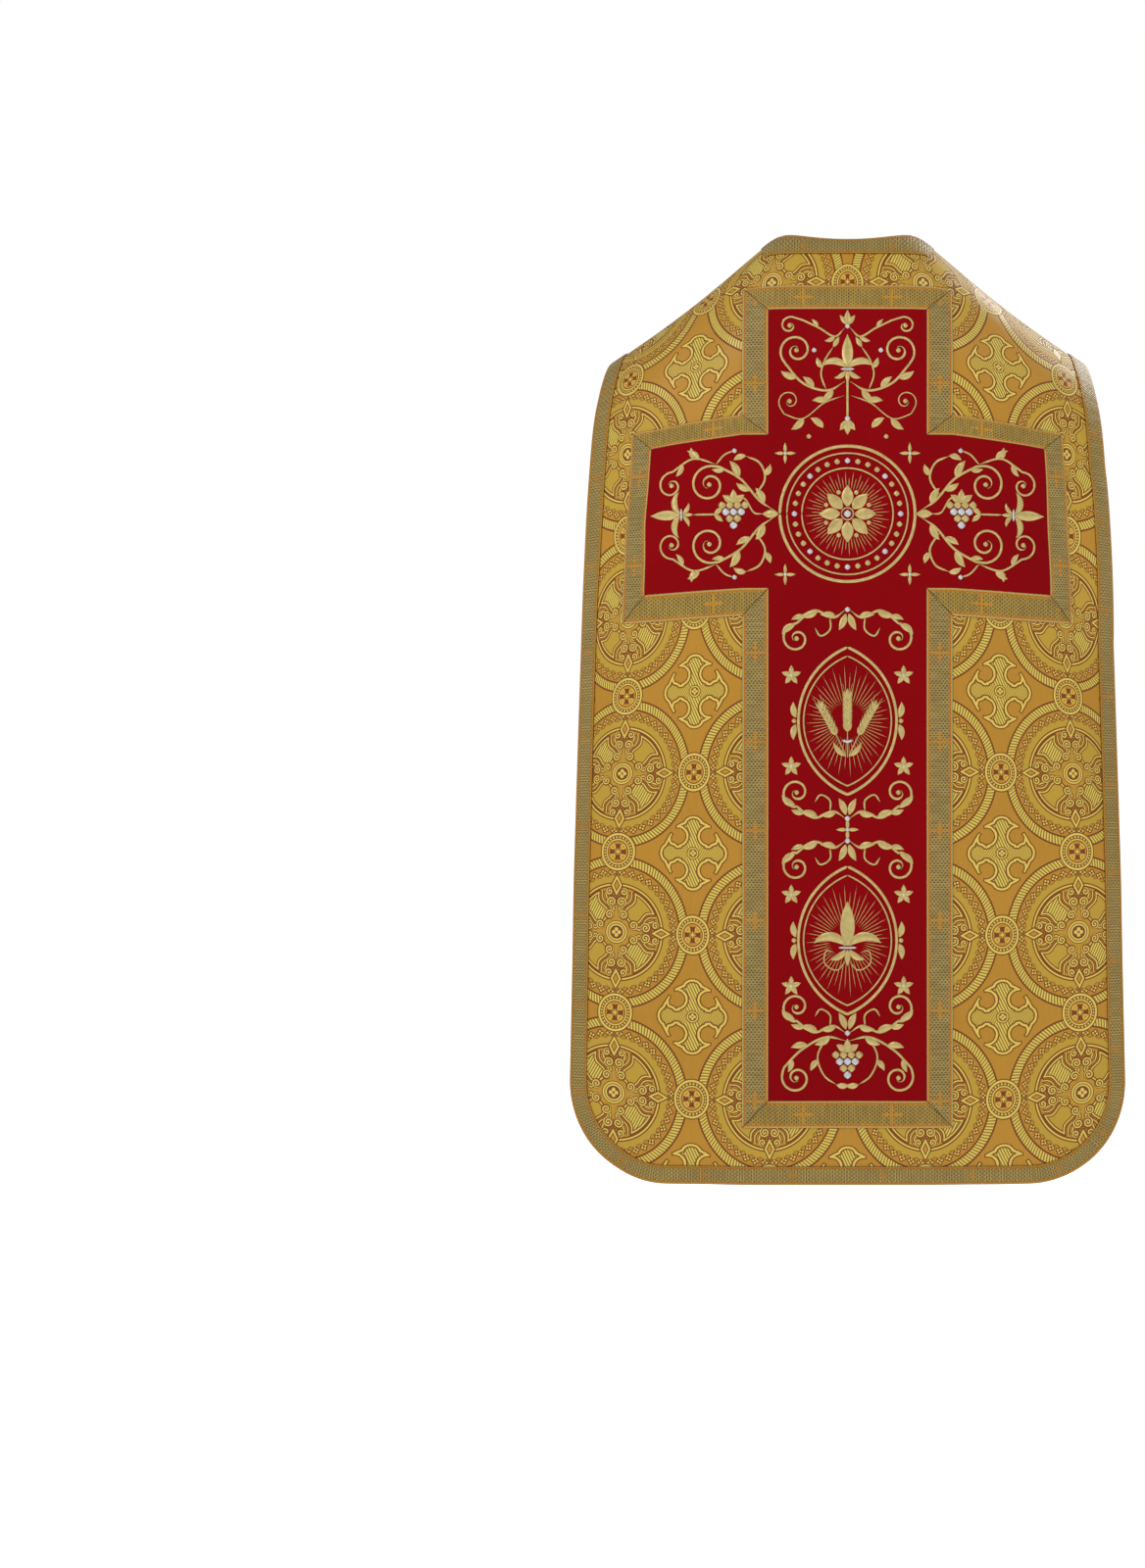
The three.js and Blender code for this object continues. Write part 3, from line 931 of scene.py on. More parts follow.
class Finish:
    """A material being made: its shader, its shade so far and cloth coordinates in millimetres."""

    def __init__(self, name, shade, **settings):
        self.material = bpy.data.materials.new(name)
        self.material.use_nodes = True
        self.tree, self.shade = self.material.node_tree, shade
        self.shader = self.tree.nodes["Principled BSDF"]
        for socket, value in settings.items():
            self.shader.inputs[socket.replace("_", " ")].default_value = value
        self.uv = self.new("UVMap")
        self.uv.uv_map = CLOTH_UV
        split = self.new("SeparateXYZ")
        self.link(self.uv.outputs["UV"], split.inputs[0])
        self.x = Field(self.tree, split.outputs["X"]) * (1 / MM)
        self.z = Field(self.tree, split.outputs["Y"]) * (1 / MM)

    def new(self, kind):
        return self.tree.nodes.new("ShaderNode" + kind)

    def link(self, source, target):
        self.tree.links.new(source.socket if isinstance(source, Field) else source, target)

    def noise(self, scale, detail=2.0, stretch=(1, 1), of_object=True):
        """Noise over the object in metres, or over the UVs."""
        mapping, made = self.new("Mapping"), self.new("TexNoise")
        middle = 1 if of_object else stretch[1]
        mapping.inputs["Scale"].default_value = (stretch[0], middle, stretch[1])
        source = self.new("TexCoord").outputs["Object"] if of_object else self.uv.outputs["UV"]
        self.link(source, mapping.inputs["Vector"])
        made.inputs["Scale"].default_value = scale
        made.inputs["Detail"].default_value = detail
        self.link(mapping.outputs[0], made.inputs["Vector"])
        return Field(self.tree, made.outputs["Fac"])

    def mix(self, below, above, share):
        """Colour `above` over `below` by a share; colours are codes or sockets."""
        made = self.new("Mix")
        made.data_type = "RGBA"
        factor, first, second = 0, 6, 7  # where the colour kind has its inputs
        for index, value in ((first, below), (second, above)):
            if isinstance(value, str):
                made.inputs[index].default_value = colour(value)
            else:
                self.link(value, made.inputs[index])
        self.link(share, made.inputs[factor])
        return made.outputs[2]

    def lay(self, above, share):
        self.shade = self.mix(self.shade, above, share)

    def done(self, height, distance, strength):
        """Links the shade and a bump over `height`, and gives the material."""
        self.link(self.shade, self.shader.inputs["Base Color"])
        bump = self.new("Bump")
        bump.inputs["Strength"].default_value = strength
        bump.inputs["Distance"].default_value = distance * MM
        self.link(height, bump.inputs["Height"])
        self.link(bump.outputs[0], self.shader.inputs["Normal"])
        return self.material


# Colours of the brocade: satin ground and its shadows, olive zones, the gaps between bars,
# pale gold and brown outlines
GROUND, DEEP, ZONE, GAP, PALE, BROWN = "B48224", "9E6F1C", "B2902E", "86661A", "D6BE56", "6E3204"


class Weave(Finish):
    """The brocade: threads laid one over another, with the raised parts and the grooves."""

    def __init__(self):
        super().__init__("brocade", GROUND, Roughness=0.46, Sheen_Weight=0.02, Sheen_Roughness=0.4,
                         Specular_IOR_Level=0.28)
        self.raised, self.grooves = [], []
        self.slub = self.noise(420, 2.0, (1, 0.12))
        self.lay(DEEP, self.slub * self.noise(7.0, 1.0) * 1.1)

    def stripes(self, where, across, pitch, strength=1.0):
        """Pale bars on an olive ground, at a pitch in millimetres."""
        bars = within(size_of(part_of(across / pitch) - 0.5) - 0.27, 0.16)
        self.lay(self.mix(GAP, PALE, bars), where * strength)
        self.raised.append(where * (bars * 0.6 + 0.4))

    def bright(self, *where):
        marks = highest(*where)
        self.lay(PALE, marks * 0.95)
        self.raised.append(marks)

    def dark(self, *where):
        marks = highest(*where)
        self.lay(BROWN, marks * 0.97)
        self.grooves.append(marks)

    def discs(self, distance, *edges):
        """Brown and pale discs in turn, each laid on the one before."""
        for i, edge in enumerate(edges):
            (self.bright if i % 2 else self.dark)(within(distance - edge))

    def woven(self):
        raised, grooves = highest(*self.raised), highest(*self.grooves)
        thread_pitch = 0.9
        weave = sine_of(self.x * (TURN / thread_pitch)) * sine_of(self.z * (TURN / thread_pitch))
        self.link(0.50 - 0.16 * raised + 0.12 * grooves, self.shader.inputs["Roughness"])
        return self.done(raised - 0.6 * grooves + 0.03 * weave + 0.10 * self.slub, 0.30, 0.7)


def brocade():
    """Woven repeat of roundels and crosses in pale gold and olive on orange-gold satin."""
    weaves = Weave()
    x, z = weaves.x, weaves.z - HEM[BACK]["z"]
    cross_x = from_middle(x + BROCADE_WIDE / 2, BROCADE_WIDE)
    cross_z = from_middle(z + BROCADE_TALL / 2, BROCADE_TALL)
    round_x, round_z = from_middle(x, BROCADE_WIDE), from_middle(z, BROCADE_TALL)
    roundel(weaves, round_x, round_z)
    medallions(weaves, cross_x, cross_z, round_x, round_z)
    lobed_cross(weaves, cross_x, cross_z)
    return weaves.woven()


def roundel(weaves, across, up):
    """A striped band, a chain of small crosslets, a stepped zone, and scrolls inside a ring."""
    mean = 182.0  # the repeat's width and height are both scaled to this
    band, chain, zone, ring, kites, heart = 80.4, 67.6, 61.8, 53.4, 19.5, 13.2  # radii
    wide, tall = size_of(across) * (mean / BROCADE_WIDE), size_of(up) * (mean / BROCADE_TALL)
    radius = length_of(wide, tall)
    angle = angle_of(across, up)
    step = TURN / 40  # between the crosslets
    weaves.stripes(within(size_of(radius - band) - 4.8), angle * band + radius * 0.35, 3.5)
    weaves.dark(stroke(radius - band + 5.4, 2.0), stroke(radius - band - 5.4, 2.0))

    far, near = far_near(from_middle(angle, step) * radius, radius - chain)
    weaves.discs(length_of(far - 2.3, near), 2.5, 1.2)

    stepped = zone + size_of(part_of(angle / step + 0.5) - 0.5) * 5.4
    weaves.dark(within(radius - stepped - 0.9) * 0.75)
    weaves.lay(ZONE, within(radius - stepped))
    weaves.bright(stroke(radius - ring, 1.5))
    weaves.dark(stroke(radius - ring - 1.6, 1.4), stroke(radius - ring + 2.0, 1.8))
    weaves.lay(GROUND, within(radius - 50.6))
    weaves.lay(ZONE, within(radius - 30.0) * 0.35)

    far, near = highest(wide, tall), lowest(wide, tall)
    sway = 2.8 * sine_of((radius - 19.0) * (TURN / 29))
    kite = highest((far * 0.44 - near + 2.6 - sway) * 0.88, radius - 48.6, kites - radius)
    hatched = kite.node("GREATER_THAN", across * up, 0.0)
    weaves.lay(ZONE, within(kite))
    weaves.stripes(within(kite) * hatched, across + up * 0.5, 3.3)
    weaves.bright(stroke(kite + 0.2, 1.5))
    weaves.dark(stroke(kite - 1.3, 1.5), stroke(kite + 1.7, 1.2))

    inset = within(kites - radius) * within(radius - 49.0)
    weaves.bright(inset * stroke(kite - 4.6, 1.3))
    weaves.dark(inset * stroke(kite - 5.9, 1.3), inset * stroke(kite - 3.2, 1.3))

    fan = highest(far + near * near * 0.012 - 45.5, 37.0 - far - near * 0.25,
                  (near - far * 0.30) * 0.95)
    weaves.lay(GROUND, within(fan))
    weaves.dark(stroke(fan - 1.2, 1.3), stroke(fan + 1.5, 1.2), stroke(fan + 4.0, 0.9))
    weaves.bright(stroke(fan, 1.5))
    stem = near - 3.0 - size_of(far - 26.0) * 0.45
    stem = highest(size_of(stem) - 0.8, size_of(far - 25.5) - 6.5)
    weaves.dark(within(stem - 1.2))
    weaves.bright(within(stem))
    coil(weaves, far - 34.0, near - 5.6, 5.8, 1)
    coil(weaves, far - 19.5, near - 8.0, 5.2, -1)
    coil(weaves, far - 45.5, near - 8.2, 4.4, -1)

    bud = (size_of(near) / 5.4 + size_of(far - 52.5) / 10.5 - 1.0) * 4.2
    weaves.lay(GROUND, within(bud))
    weaves.discs(bud, 1.6, 0.4, -1.3)
    weaves.lay(GROUND, within(bud + 2.3))

    weaves.discs(radius, heart, heart - 1.0, heart - 2.8, heart - 3.9, heart - 5.6)
    weaves.bright(within(length_of(far - 3.2, near) - 2.1))


def coil(weaves, across, up, radius, hand):
    """A pale spiral on a brown disc."""
    pitch = 2.9
    reach = length_of(across, up)
    turn = angle_of(across, up) * (hand / TURN)
    off = size_of(part_of(reach / pitch - turn) - 0.5) * pitch
    weaves.dark(within(reach - radius - 0.7))
    weaves.bright(within(off - 0.75) * within(reach - radius))


def medallions(weaves, cross_x, cross_z, round_x, round_z):
    """Small beaded ovals between the crosses and between the roundels."""
    half_wide, half_tall, mean = 20.6, 23.4, 21.0
    first = length_of(cross_x / half_wide, round_z / half_tall)
    second = length_of(round_x / half_wide, cross_z / half_tall)
    pick = first.node("GREATER_THAN", first, second)
    across = cross_x + (round_x - cross_x) * pick
    up = round_z + (cross_z - round_z) * pick
    radius = lowest(first, second) * mean
    weaves.discs(radius, mean, mean - 1.2, 17.5)
    beads, ring = 28, 15.6
    turn = from_middle(angle_of(across, up), TURN / beads) * ring
    weaves.bright(within(length_of(turn, radius - ring) - 1.05))
    weaves.bright(within(radius - 13.7))
    weaves.dark(within(radius - 12.3))
    weaves.lay(GROUND, within(radius - 11.2))
    far, near = far_near(across, up)
    weaves.dark(within(highest(near - 0.6 - far * 0.34, far - 9.2)))
    curl = length_of(far - 6.4, near - 5.2)
    weaves.bright(stroke(curl - 1.9, 0.9), within(length_of(across, up) - 1.6),
                  within(highest(near - 0.5, far - 3.6)))


def lobed_cross(weaves, across, up):
    """A cross whose four ends flare into a lobe between two barbs, with a small boss."""
    half_x, half_z = size_of(across) * 0.92, size_of(up) * 0.985

    def end(along, beside, tip, pocket, lean, crown):
        """One end, from the place of its barb's tip, its pocket's circle and its lobe."""
        hollow = pocket[2] - length_of(along - pocket[0], beside - pocket[1])
        back = tip[1] - beside
        outer = (along - tip[0]) * 0.85 - back * 0.53 + back * back * 0.007
        behind = ((pocket[0] - along) + (beside - pocket[1]) * lean) / math.hypot(1, lean)
        lobe = length_of(along - crown[0], beside / 1.1) - crown[1]
        return lowest(highest(hollow, outer, behind, beside - tip[1] - 0.5), lobe)

    shape = lowest(
        highest(half_x - 7.0, half_z - 34.0), highest(half_z - 8.0, half_x - 29.0),
        end(half_z, half_x, (30.4, 19.8), (19.4, 17.3, 9.8), 6.9, (32.4, 9.8)),
        end(half_x, half_z, (25.4, 22.4), (17.2, 16.4, 8.0), 1.16, (25.6, 11.2)))
    inside = within(shape)
    weaves.dark(within(shape - 1.2))
    weaves.lay(ZONE, inside)
    upright = within(half_x - half_z)
    weaves.stripes(inside * upright, across * 0.9 - up * 0.42, 3.0)
    weaves.stripes(inside * (1.0 - upright), across * 0.9 + up * 0.5, 2.6, 0.5)
    weaves.bright(stroke(shape + 1.3, 1.9))
    weaves.dark(stroke(shape + 3.2, 1.5))
    weaves.discs(length_of(across, up), 7.4, 6.4, 5.0)
    far, near = far_near(half_x, half_z)
    weaves.bright(within(length_of(far - 2.2, near) - 1.5))


MOTIF_EVERY = 102.0  # between the small crosses along a galloon
HONEY_ALONG, HONEY_ACROSS = 2.7, 4.2  # size of the braid's cells
TOOTH_PITCH, TOOTH_DEPTH = 5.0, 3.0


def galloon(name, width, base, light, dark, line, first_motif):
    """Honeycomb braid with toothed lines inside both edges and small crosses along it."""
    finish = Finish(name, light, Roughness=0.48, Sheen_Weight=0.05, Specular_IOR_Level=0.3)
    wide = width == WIDE
    across, along = finish.x, finish.z
    edge = width / 2 - size_of(across)
    row = along / HONEY_ALONG
    half_row = row * 0.5
    odd = row.node("FLOOR", row) - 2 * row.node("FLOOR", half_row)
    column = across / HONEY_ACROSS + 0.5 * odd
    dent = within((length_of(part_of(row) - 0.5, part_of(column) - 0.5) - 0.30) * 2.0)
    cloud = finish.noise(26, 2.0)
    ribs = within(0.5 - finish.noise(300, 1.5, (0.12, 1.0), of_object=False), 0.30)
    if not wide:
        cross_rib = within(size_of(part_of(along / 3.3) - 0.5) - 0.20, 0.2)
        ribs = highest(ribs * 0.45, cross_rib * 0.95)
    finish.lay(base, dent)
    finish.lay(dark, 0.22 + 0.30 * cloud)
    finish.lay(dark, (0.34 if wide else 0.62) * ribs)

    line_at = 3.5 if wide else 2.3
    tooth = edge - line_at - size_of(part_of(along / TOOTH_PITCH) - 0.5) * TOOTH_DEPTH
    finish.lay(line, 0.95 * within(tooth))
    finish.lay("74480E", 0.7 * stroke(tooth + 1.2, 0.9))

    at = from_middle(along + first_motif, MOTIF_EVERY)
    long_arm, short_arm, thin = (11.5, 10.5, 1.1) if wide else (7.0, 6.0, 0.9)
    motif = lowest(highest(size_of(across) - thin, size_of(at) - long_arm),
                   highest(size_of(at) - thin, size_of(across) - short_arm))
    if wide:
        motif = lowest(motif, length_of(size_of(at) - 6.0, across) - 2.0,
                       length_of(size_of(across) - 5.2, at) - 1.6)
    finish.lay(line, 0.92 * within(motif))
    if wide:
        finish.lay("AE9C62", 0.9 * within(edge - 1.7, 0.4))
    else:
        finish.lay("A87C1E", 0.85 * within(edge - 1.6, 0.4))
    finish.lay("5E3A10", 0.8 * within(edge - 0.4, 0.3))
    mitre = finish.new("Attribute")
    mitre.attribute_name = SEAM_MARK
    finish.lay("4A3210", 0.8 * within(0.72 - Field(finish.tree, mitre.outputs["Fac"]), 0.2))
    return finish.done((1 - dent) - 1.2 * ribs, 0.4, 0.85)


def velvet():
    finish = Finish("red_velvet", "7C0006", Roughness=0.88, Sheen_Weight=0.06, Sheen_Roughness=0.5,
                    Sheen_Tint=colour("C81018"), Specular_IOR_Level=0.08)
    nap = finish.noise(900, 3.0)
    finish.lay("960009", nap)
    finish.lay("600004", 0.55 * finish.noise(9.0, 2.0, (1, 0.5)))
    return finish.done(nap, 0.25, 0.5)


def satin():
    finish = Finish("satin_lining", "B07C24", Roughness=0.36, Sheen_Weight=0.15)
    threads = finish.noise(700, 2.0, (1, 0.08))
    finish.lay("C69434", threads)
    finish.lay("946618", 0.5 * finish.noise(8.0, 2.0))
    return finish.done(threads, 0.15, 0.4)


def thread(name, base, bright, dark):
    """Metal thread laid in close stitches across each strip."""
    finish = Finish(name, base, Roughness=0.36, Metallic=0.45)
    stitch = size_of(part_of((finish.z + finish.x * 0.35) / 0.9) - 0.5)
    finish.lay(bright, finish.noise(160, 2.0))
    finish.lay(dark, 0.55 * within(stitch - 0.16, 0.3))
    return finish.done(stitch, 0.25, 0.8)


BROCADE = brocade()
WIDE_BRAID = galloon("wide_galloon", WIDE, "564212", "C0A85E", "4A3610", "B87600", 38.6)
# The same wide galloon again, in colours that paint the sheen the level strips catch under the
# light: painted light, not another braid.
SHEEN_LEVEL_BRAID = galloon("level_galloon_painted_sheen", WIDE, "644A10", "C2A248", "523C0C", "BC7C04", 0.0)
NARROW_BRAID = galloon("narrow_galloon", NARROW, "86702E", "C8AE5E", "503A14", "AA6E04", 0.0)
VELVET = velvet()
SATIN = satin()
GOLD = thread("gold_thread", "B0944E", "E0CE8C", "6A5020")
SILVER = thread("silver_thread", "B4B4B4", "E6E6E8", "77777C")

# ---- Embroidery: strips of thread drawn flat, then laid on the orphreys ----

STEP = 2.2  # length of a strip's faces
# Across a strip: share of its half-width and of its height; its borders lie in the cloth
SECTION = ((-1.0, 0), (-0.55, 0.85), (0.0, 1.0), (0.55, 0.85), (1.0, 0))


def resample(points, step=STEP):
    points = np.asarray(points, float)
    run = np.concatenate([[0], np.cumsum(np.hypot(*np.diff(points, axis=0).T))])
    count = max(2, round(run[-1] / step))
    at = np.linspace(0, run[-1], count + 1)
    return np.stack([np.interp(at, run, points[:, 0]), np.interp(at, run, points[:, 1])], axis=-1)


def arc(x, z, radius, start, end, squash=1.0):
    """Points of an arc, its angles in degrees."""
    count = max(6, int(abs(end - start) * math.radians(1) * radius / STEP))
    turns = np.radians(np.linspace(start, end, count + 1))
    return np.stack([x + radius * np.cos(turns), z + radius * squash * np.sin(turns)], axis=-1)


def spiral(x, z, radius, start, turns, hand):
    """Points winding inward from `start` degrees; `hand` is 1 or -1."""
    share = np.linspace(0, 1, max(8, int(26 * turns)))
    angle = math.radians(start) + hand * TURN * turns * share
    size = radius * (1 - 0.8 * share)
    return np.stack([x + size * np.cos(angle), z + size * np.sin(angle)], axis=-1)


class Stitches:
    """Strips of thread in flat millimetres: (centre line, half-widths, height, silver?)."""

    def __init__(self):
        self.strips, self.z, self.up, self.mirrored = [], 0, 1, False

    @contextmanager
    def placed(self, z, up=1, mirrored=True):
        """While it lasts, strips are drawn about height z, upside down where `up` is -1, and
        on both sides of the axis where `mirrored` is set."""
        before = self.z, self.up, self.mirrored
        self.z, self.up, self.mirrored = self.z + self.up * z, self.up * up, mirrored
        yield
        self.z, self.up, self.mirrored = before

    def add(self, points, halves, height, silver):
        points = np.asarray(points, float) * (1, self.up) + (0, self.z)
        self.strips.append((points, halves, height, silver))
        if self.mirrored:
            self.strips.append((points * (-1, 1), halves, height, silver))

    def line(self, points, width=2.6, height=0.9, silver=False, taper=0.12):
        points = resample(points)
        share = np.linspace(0, 1, len(points))
        ends = np.clip(np.minimum(share, 1 - share) / max(taper, 1e-6), 0.25, 1)
        self.add(points, width / 2 * ends, height, silver)

    def curve(self, knots, **options):
        self.line(curve_points(knots, 12), **options)

    def leaf(self, x, z, turn, length, width, bend=0.0, height=1.0, silver=False):
        """A padded leaf or petal from its foot at (x, z), pointing at `turn` degrees."""
        count = max(5, int(length / STEP))
        share = np.linspace(0, 1, count + 1)
        heading = math.radians(turn) + math.radians(bend) * share
        step = length / count
        run = np.stack([np.cos(heading), np.sin(heading)], axis=-1) * step
        points = np.cumsum(run, axis=0) - run[0] + (x, z)
        halves = width / 2 * np.sin(math.pi * np.clip(share, 0.03, 0.98) ** 0.85) ** 0.8
        self.add(points, halves, height, silver)

    def bead(self, x, z, size, silver=False):
        share = np.linspace(-1, 1, 5)
        points = np.stack([np.full(5, x), z + share * size * 0.92], axis=-1)
        self.add(points, size * np.sqrt(np.maximum(0.06, 1 - share**2)), size * 0.5, silver)


def rosette(s, x, z, radius, petals):
    def at(turn, reach):
        angle = math.radians(turn)
        return x + reach * radius * math.cos(angle), z + reach * radius * math.sin(angle)

    pitch = 360 / petals
    for i in range(petals):
        turn = 90 + pitch * i
        s.leaf(*at(turn, 0.26), turn, 0.72 * radius, 3.36 * radius / petals, height=1.2)
    for i in range(petals):
        s.bead(*at(90 + pitch * (i + 0.5), 0.80), 0.07 * radius + 0.5)
    s.line(arc(x, z, 0.21 * radius, 0, 360), width=1.7, taper=0)
    s.bead(x, z, 0.13 * radius, True)


def rays(s, x, z, inner, outer, count):
    for i in range(count):
        turn = TURN * (i + 0.5) / count
        far = outer(turn) if callable(outer) else outer
        far *= 1.0 if i % 2 else 0.86
        points = [(x + r * math.cos(turn), z + r * math.sin(turn)) for r in (inner, far)]
        s.line(points, width=0.75, height=0.3, taper=0.2)


def crosslet(s, x, z, size):
    for turn in (0, 90, 180, 270):
        s.leaf(x, z, turn, size, size * 0.34, height=0.8)
    s.bead(x, z, size * 0.17, True)


def lily(s, x, z, size, turn=90):
    """A lily of three petals over a band, with two short tails."""
    def local(px, pz):
        a = math.radians(turn - 90)
        return x + px * math.cos(a) - pz * math.sin(a), z + px * math.sin(a) + pz * math.cos(a)

    s.leaf(*local(0, 0), turn, size, size * 0.34, height=1.4)
    for hand in (-1, 1):
        s.leaf(*local(0.05 * size * hand, 0), turn - 30 * hand, 0.82 * size, 0.22 * size,
               bend=-105 * hand, height=1.1)
        s.leaf(*local(0.05 * size * hand, -0.1 * size), turn + 180 + 24 * hand, 0.42 * size,
               0.15 * size, bend=60 * hand, height=1.0)
    band = [local(-0.2 * size, -0.05 * size), local(0.2 * size, -0.05 * size)]
    s.line(band, height=1.4, silver=True, taper=0)
    s.leaf(*local(0, -0.1 * size), turn + 180, 0.36 * size, 0.14 * size, height=1.0)


def wheat(s, x, z, size, lean):
    """An ear of wheat on its straw, leaning from upright by some degrees."""
    a = math.radians(90 - lean)
    reach = np.linspace(0, 1, 12)
    bend = 0.16 * size * math.sin(math.radians(lean)) * reach**2
    points = np.stack([x + reach * size * math.cos(a) + bend,
                       z + reach * size * math.sin(a)], axis=-1)
    s.line(points, width=1.4, taper=0)
    for i in range(5, 12):
        px, pz = points[i]
        for hand in (-1, 1):
            s.leaf(px, pz, 90 - lean + 26 * hand, 0.17 * size, 0.075 * size, height=1.1)
            beard = 0.30 * size * np.array([math.cos(a + 0.30 * hand), math.sin(a + 0.30 * hand)])
            s.line([(px, pz), (px, pz) + beard], width=0.6, height=0.3)
    s.leaf(*points[-1], 90 - lean, 0.2 * size, 0.08 * size, height=1.1)


def grapes(s, x, z, size=4.4, rows_down=4):
    """A bunch of grapes hanging from (x, z) with one leaf over it."""
    pitch = 2 * size
    for row in range(rows_down):
        count = rows_down - row
        for i in range(count):
            s.bead(x + (i - (count - 1) / 2) * pitch, z - row * pitch * 0.86, size, row % 2 == 1)
    for turn in (35, 90, 145):
        s.leaf(x, z + size * 0.7, turn, 3.4 * size, 1.9 * size, height=1.0)


def vine(s, knots, coil, leaves, width=2.9):
    """A tendril through some knots that ends in a coil, with leaves where `leaves` says."""
    stem = curve_points(knots, 12)
    s.line(np.concatenate([stem[:-1], spiral(*coil)]), width=width, taper=0.08)
    x, z, radius, start, turns, hand = coil
    s.bead(x, z, 2.9)
    for share, side, size in leaves:
        i = min(len(stem) - 2, int(share * (len(stem) - 1)))
        heading = math.degrees(math.atan2(*(stem[i + 1] - stem[i])[::-1]))
        s.leaf(*stem[i], heading + 48 * side, 1.2 * size, size * 0.5, bend=-38 * side, height=1.2)


def almond(half_wide, half_tall):
    """Outline of a pointed oval round the origin, from its top, clockwise."""
    radius = (half_tall**2 + half_wide**2) / (2 * half_wide)
    spread = math.degrees(math.asin(half_tall / radius))
    right = arc(half_wide - radius, 0, radius, spread, -spread)
    left = arc(radius - half_wide, 0, radius, 180 + spread, 180 - spread)
    return np.concatenate([right, left])


def pointed_frame(s, half_wide=56, half_tall=84):
    s.line(almond(half_wide, half_tall), width=3.4, taper=0)
    s.line(almond(half_wide - 6, half_tall - 10), width=2.0, taper=0)
    with s.placed(0):
        for corner in (52, -52):  # a small star fills each corner beside the frame
            for turn in range(0, 360, 72):
                s.leaf(half_wide + 8, corner, turn + 18, 11.5, 6.0)
            s.bead(half_wide + 8, corner, 2.2, True)
        for up in (1, -1):
            s.leaf(half_wide + 3, 4 * up, 62 * up, 18, 7.5, bend=35 * up)
        s.bead(half_wide + 5, 0, 2.8)

    def reach(turn):
        wide, tall = half_wide - 9, half_tall - 20
        return 1 / math.hypot(math.cos(turn) / wide, math.sin(turn) / tall)

    rays(s, 0, 0, 20, reach, 56)


def wheat_frame(s):
    pointed_frame(s)
    wheat(s, 0, -42, 66, 0)
    with s.placed(0):
        wheat(s, 1.5, -40, 58, 24)
        s.leaf(1.5, -40, 20, 22, 6, bend=50)
    s.line([(-6, -22), (0, -24), (6, -22)], width=3.2, height=1.6, silver=True, taper=0)


def lily_frame(s):
    pointed_frame(s)
    lily(s, 0, -6, 50)
    with s.placed(0):
        s.curve([(1, -22), (12, -34), (26, -26), (24, -12), (15, -14)], width=1.7)


def column_scrolls(s, z, k, up):
    """Two mirrored tendrils that spring from the axis over a bead, stretched upward by k."""
    with s.placed(z, up):
        vine(s, [(2, 3 * k), (16, 12 * k), (38, 4 * k), (60, 20 * k)],
             (58, 36 * k, 17, -80, 1.35, 1), [(0.3, -1, 15), (0.62, 1, 17), (0.85, -1, 13)])
        s.curve([(20, 11 * k), (20, 26 * k), (31, 33 * k), (37, 24 * k)], width=2.3)
        s.leaf(60, 20 * k, 10, 19, 8, bend=50)
        s.leaf(2, 8 * k, 78, 20, 8, bend=-20)
    s.bead(0, z + 3 * k * up, 3.2, True)


def crossing(s):
    for radius, width in ((77, 3.6), (69, 2.0), (52, 2.0)):
        s.line(arc(0, 0, radius, 0, 360), width=width, taper=0)
    beads, ring = 32, 60.5
    for i in range(beads):
        turn = TURN * i / beads
        s.bead(ring * math.cos(turn), ring * math.sin(turn), 3.3, i % 4 == 0)
    rays(s, 0, 0, 28, 48, 64)
    rosette(s, 0, 0, 33, 8)
    for side_x, side_z in ((1, 1), (1, -1), (-1, 1), (-1, -1)):
        crosslet(s, 71 * side_x, 69 * side_z, 12)


def arm_vines(s):
    s.leaf(79, 0, 0, 18, 10, height=1.3)
    for up in (1, -1):
        with s.placed(0, up):
            vine(s, [(82, 3), (100, 15), (122, 40), (150, 56)], (158, 34, 22, 112, 1.5, -1),
                 [(0.25, 1, 17), (0.5, -1, 15), (0.72, 1, 18), (0.9, -1, 12)])
            vine(s, [(150, 57), (176, 64), (198, 52)], (202, 34, 16, 96, 1.2, -1),
                 [(0.4, 1, 14), (0.8, -1, 13)], width=2.5)
            s.curve([(106, 20), (94, 40), (100, 58), (116, 66)])
            s.leaf(116, 66, 10, 15, 7, bend=-50)
            s.leaf(94, 44, 140, 14, 7, bend=-40)
            s.curve([(150, 57), (140, 68), (130, 72)], width=2.2)
            s.bead(129, 72, 2.8, True)
            s.leaf(176, 64, 60, 13, 6.5, bend=30)
    grapes(s, 130, 10)
    lily(s, 192, 0, 34, 0)
    s.curve([(96, 0), (106, 1), (118, 18), (130, 18)], width=2.2)
    s.curve([(150, 0), (162, 0), (176, 0)], width=2.4)
    for turn in (140, 220):
        s.leaf(152, 0, turn, 13, 6)


def head_axis(s):
    """What stands on the axis of the cross's head, above the wreath."""
    lily(s, 0, 92, 38)
    for turn, size in ((90, 17), (52, 14), (128, 14)):
        s.leaf(0, 142, turn, size, 0.45 * size)
    s.bead(0, 140, 2.8, True)
    s.line([(0, 30), (0, 50), (0, 84)], width=2.8)
    for turn, size in ((270, 16), (232, 14), (308, 14)):
        s.leaf(0, 32, turn, size, 0.5 * size)
    s.bead(0, 34, 3.2, True)


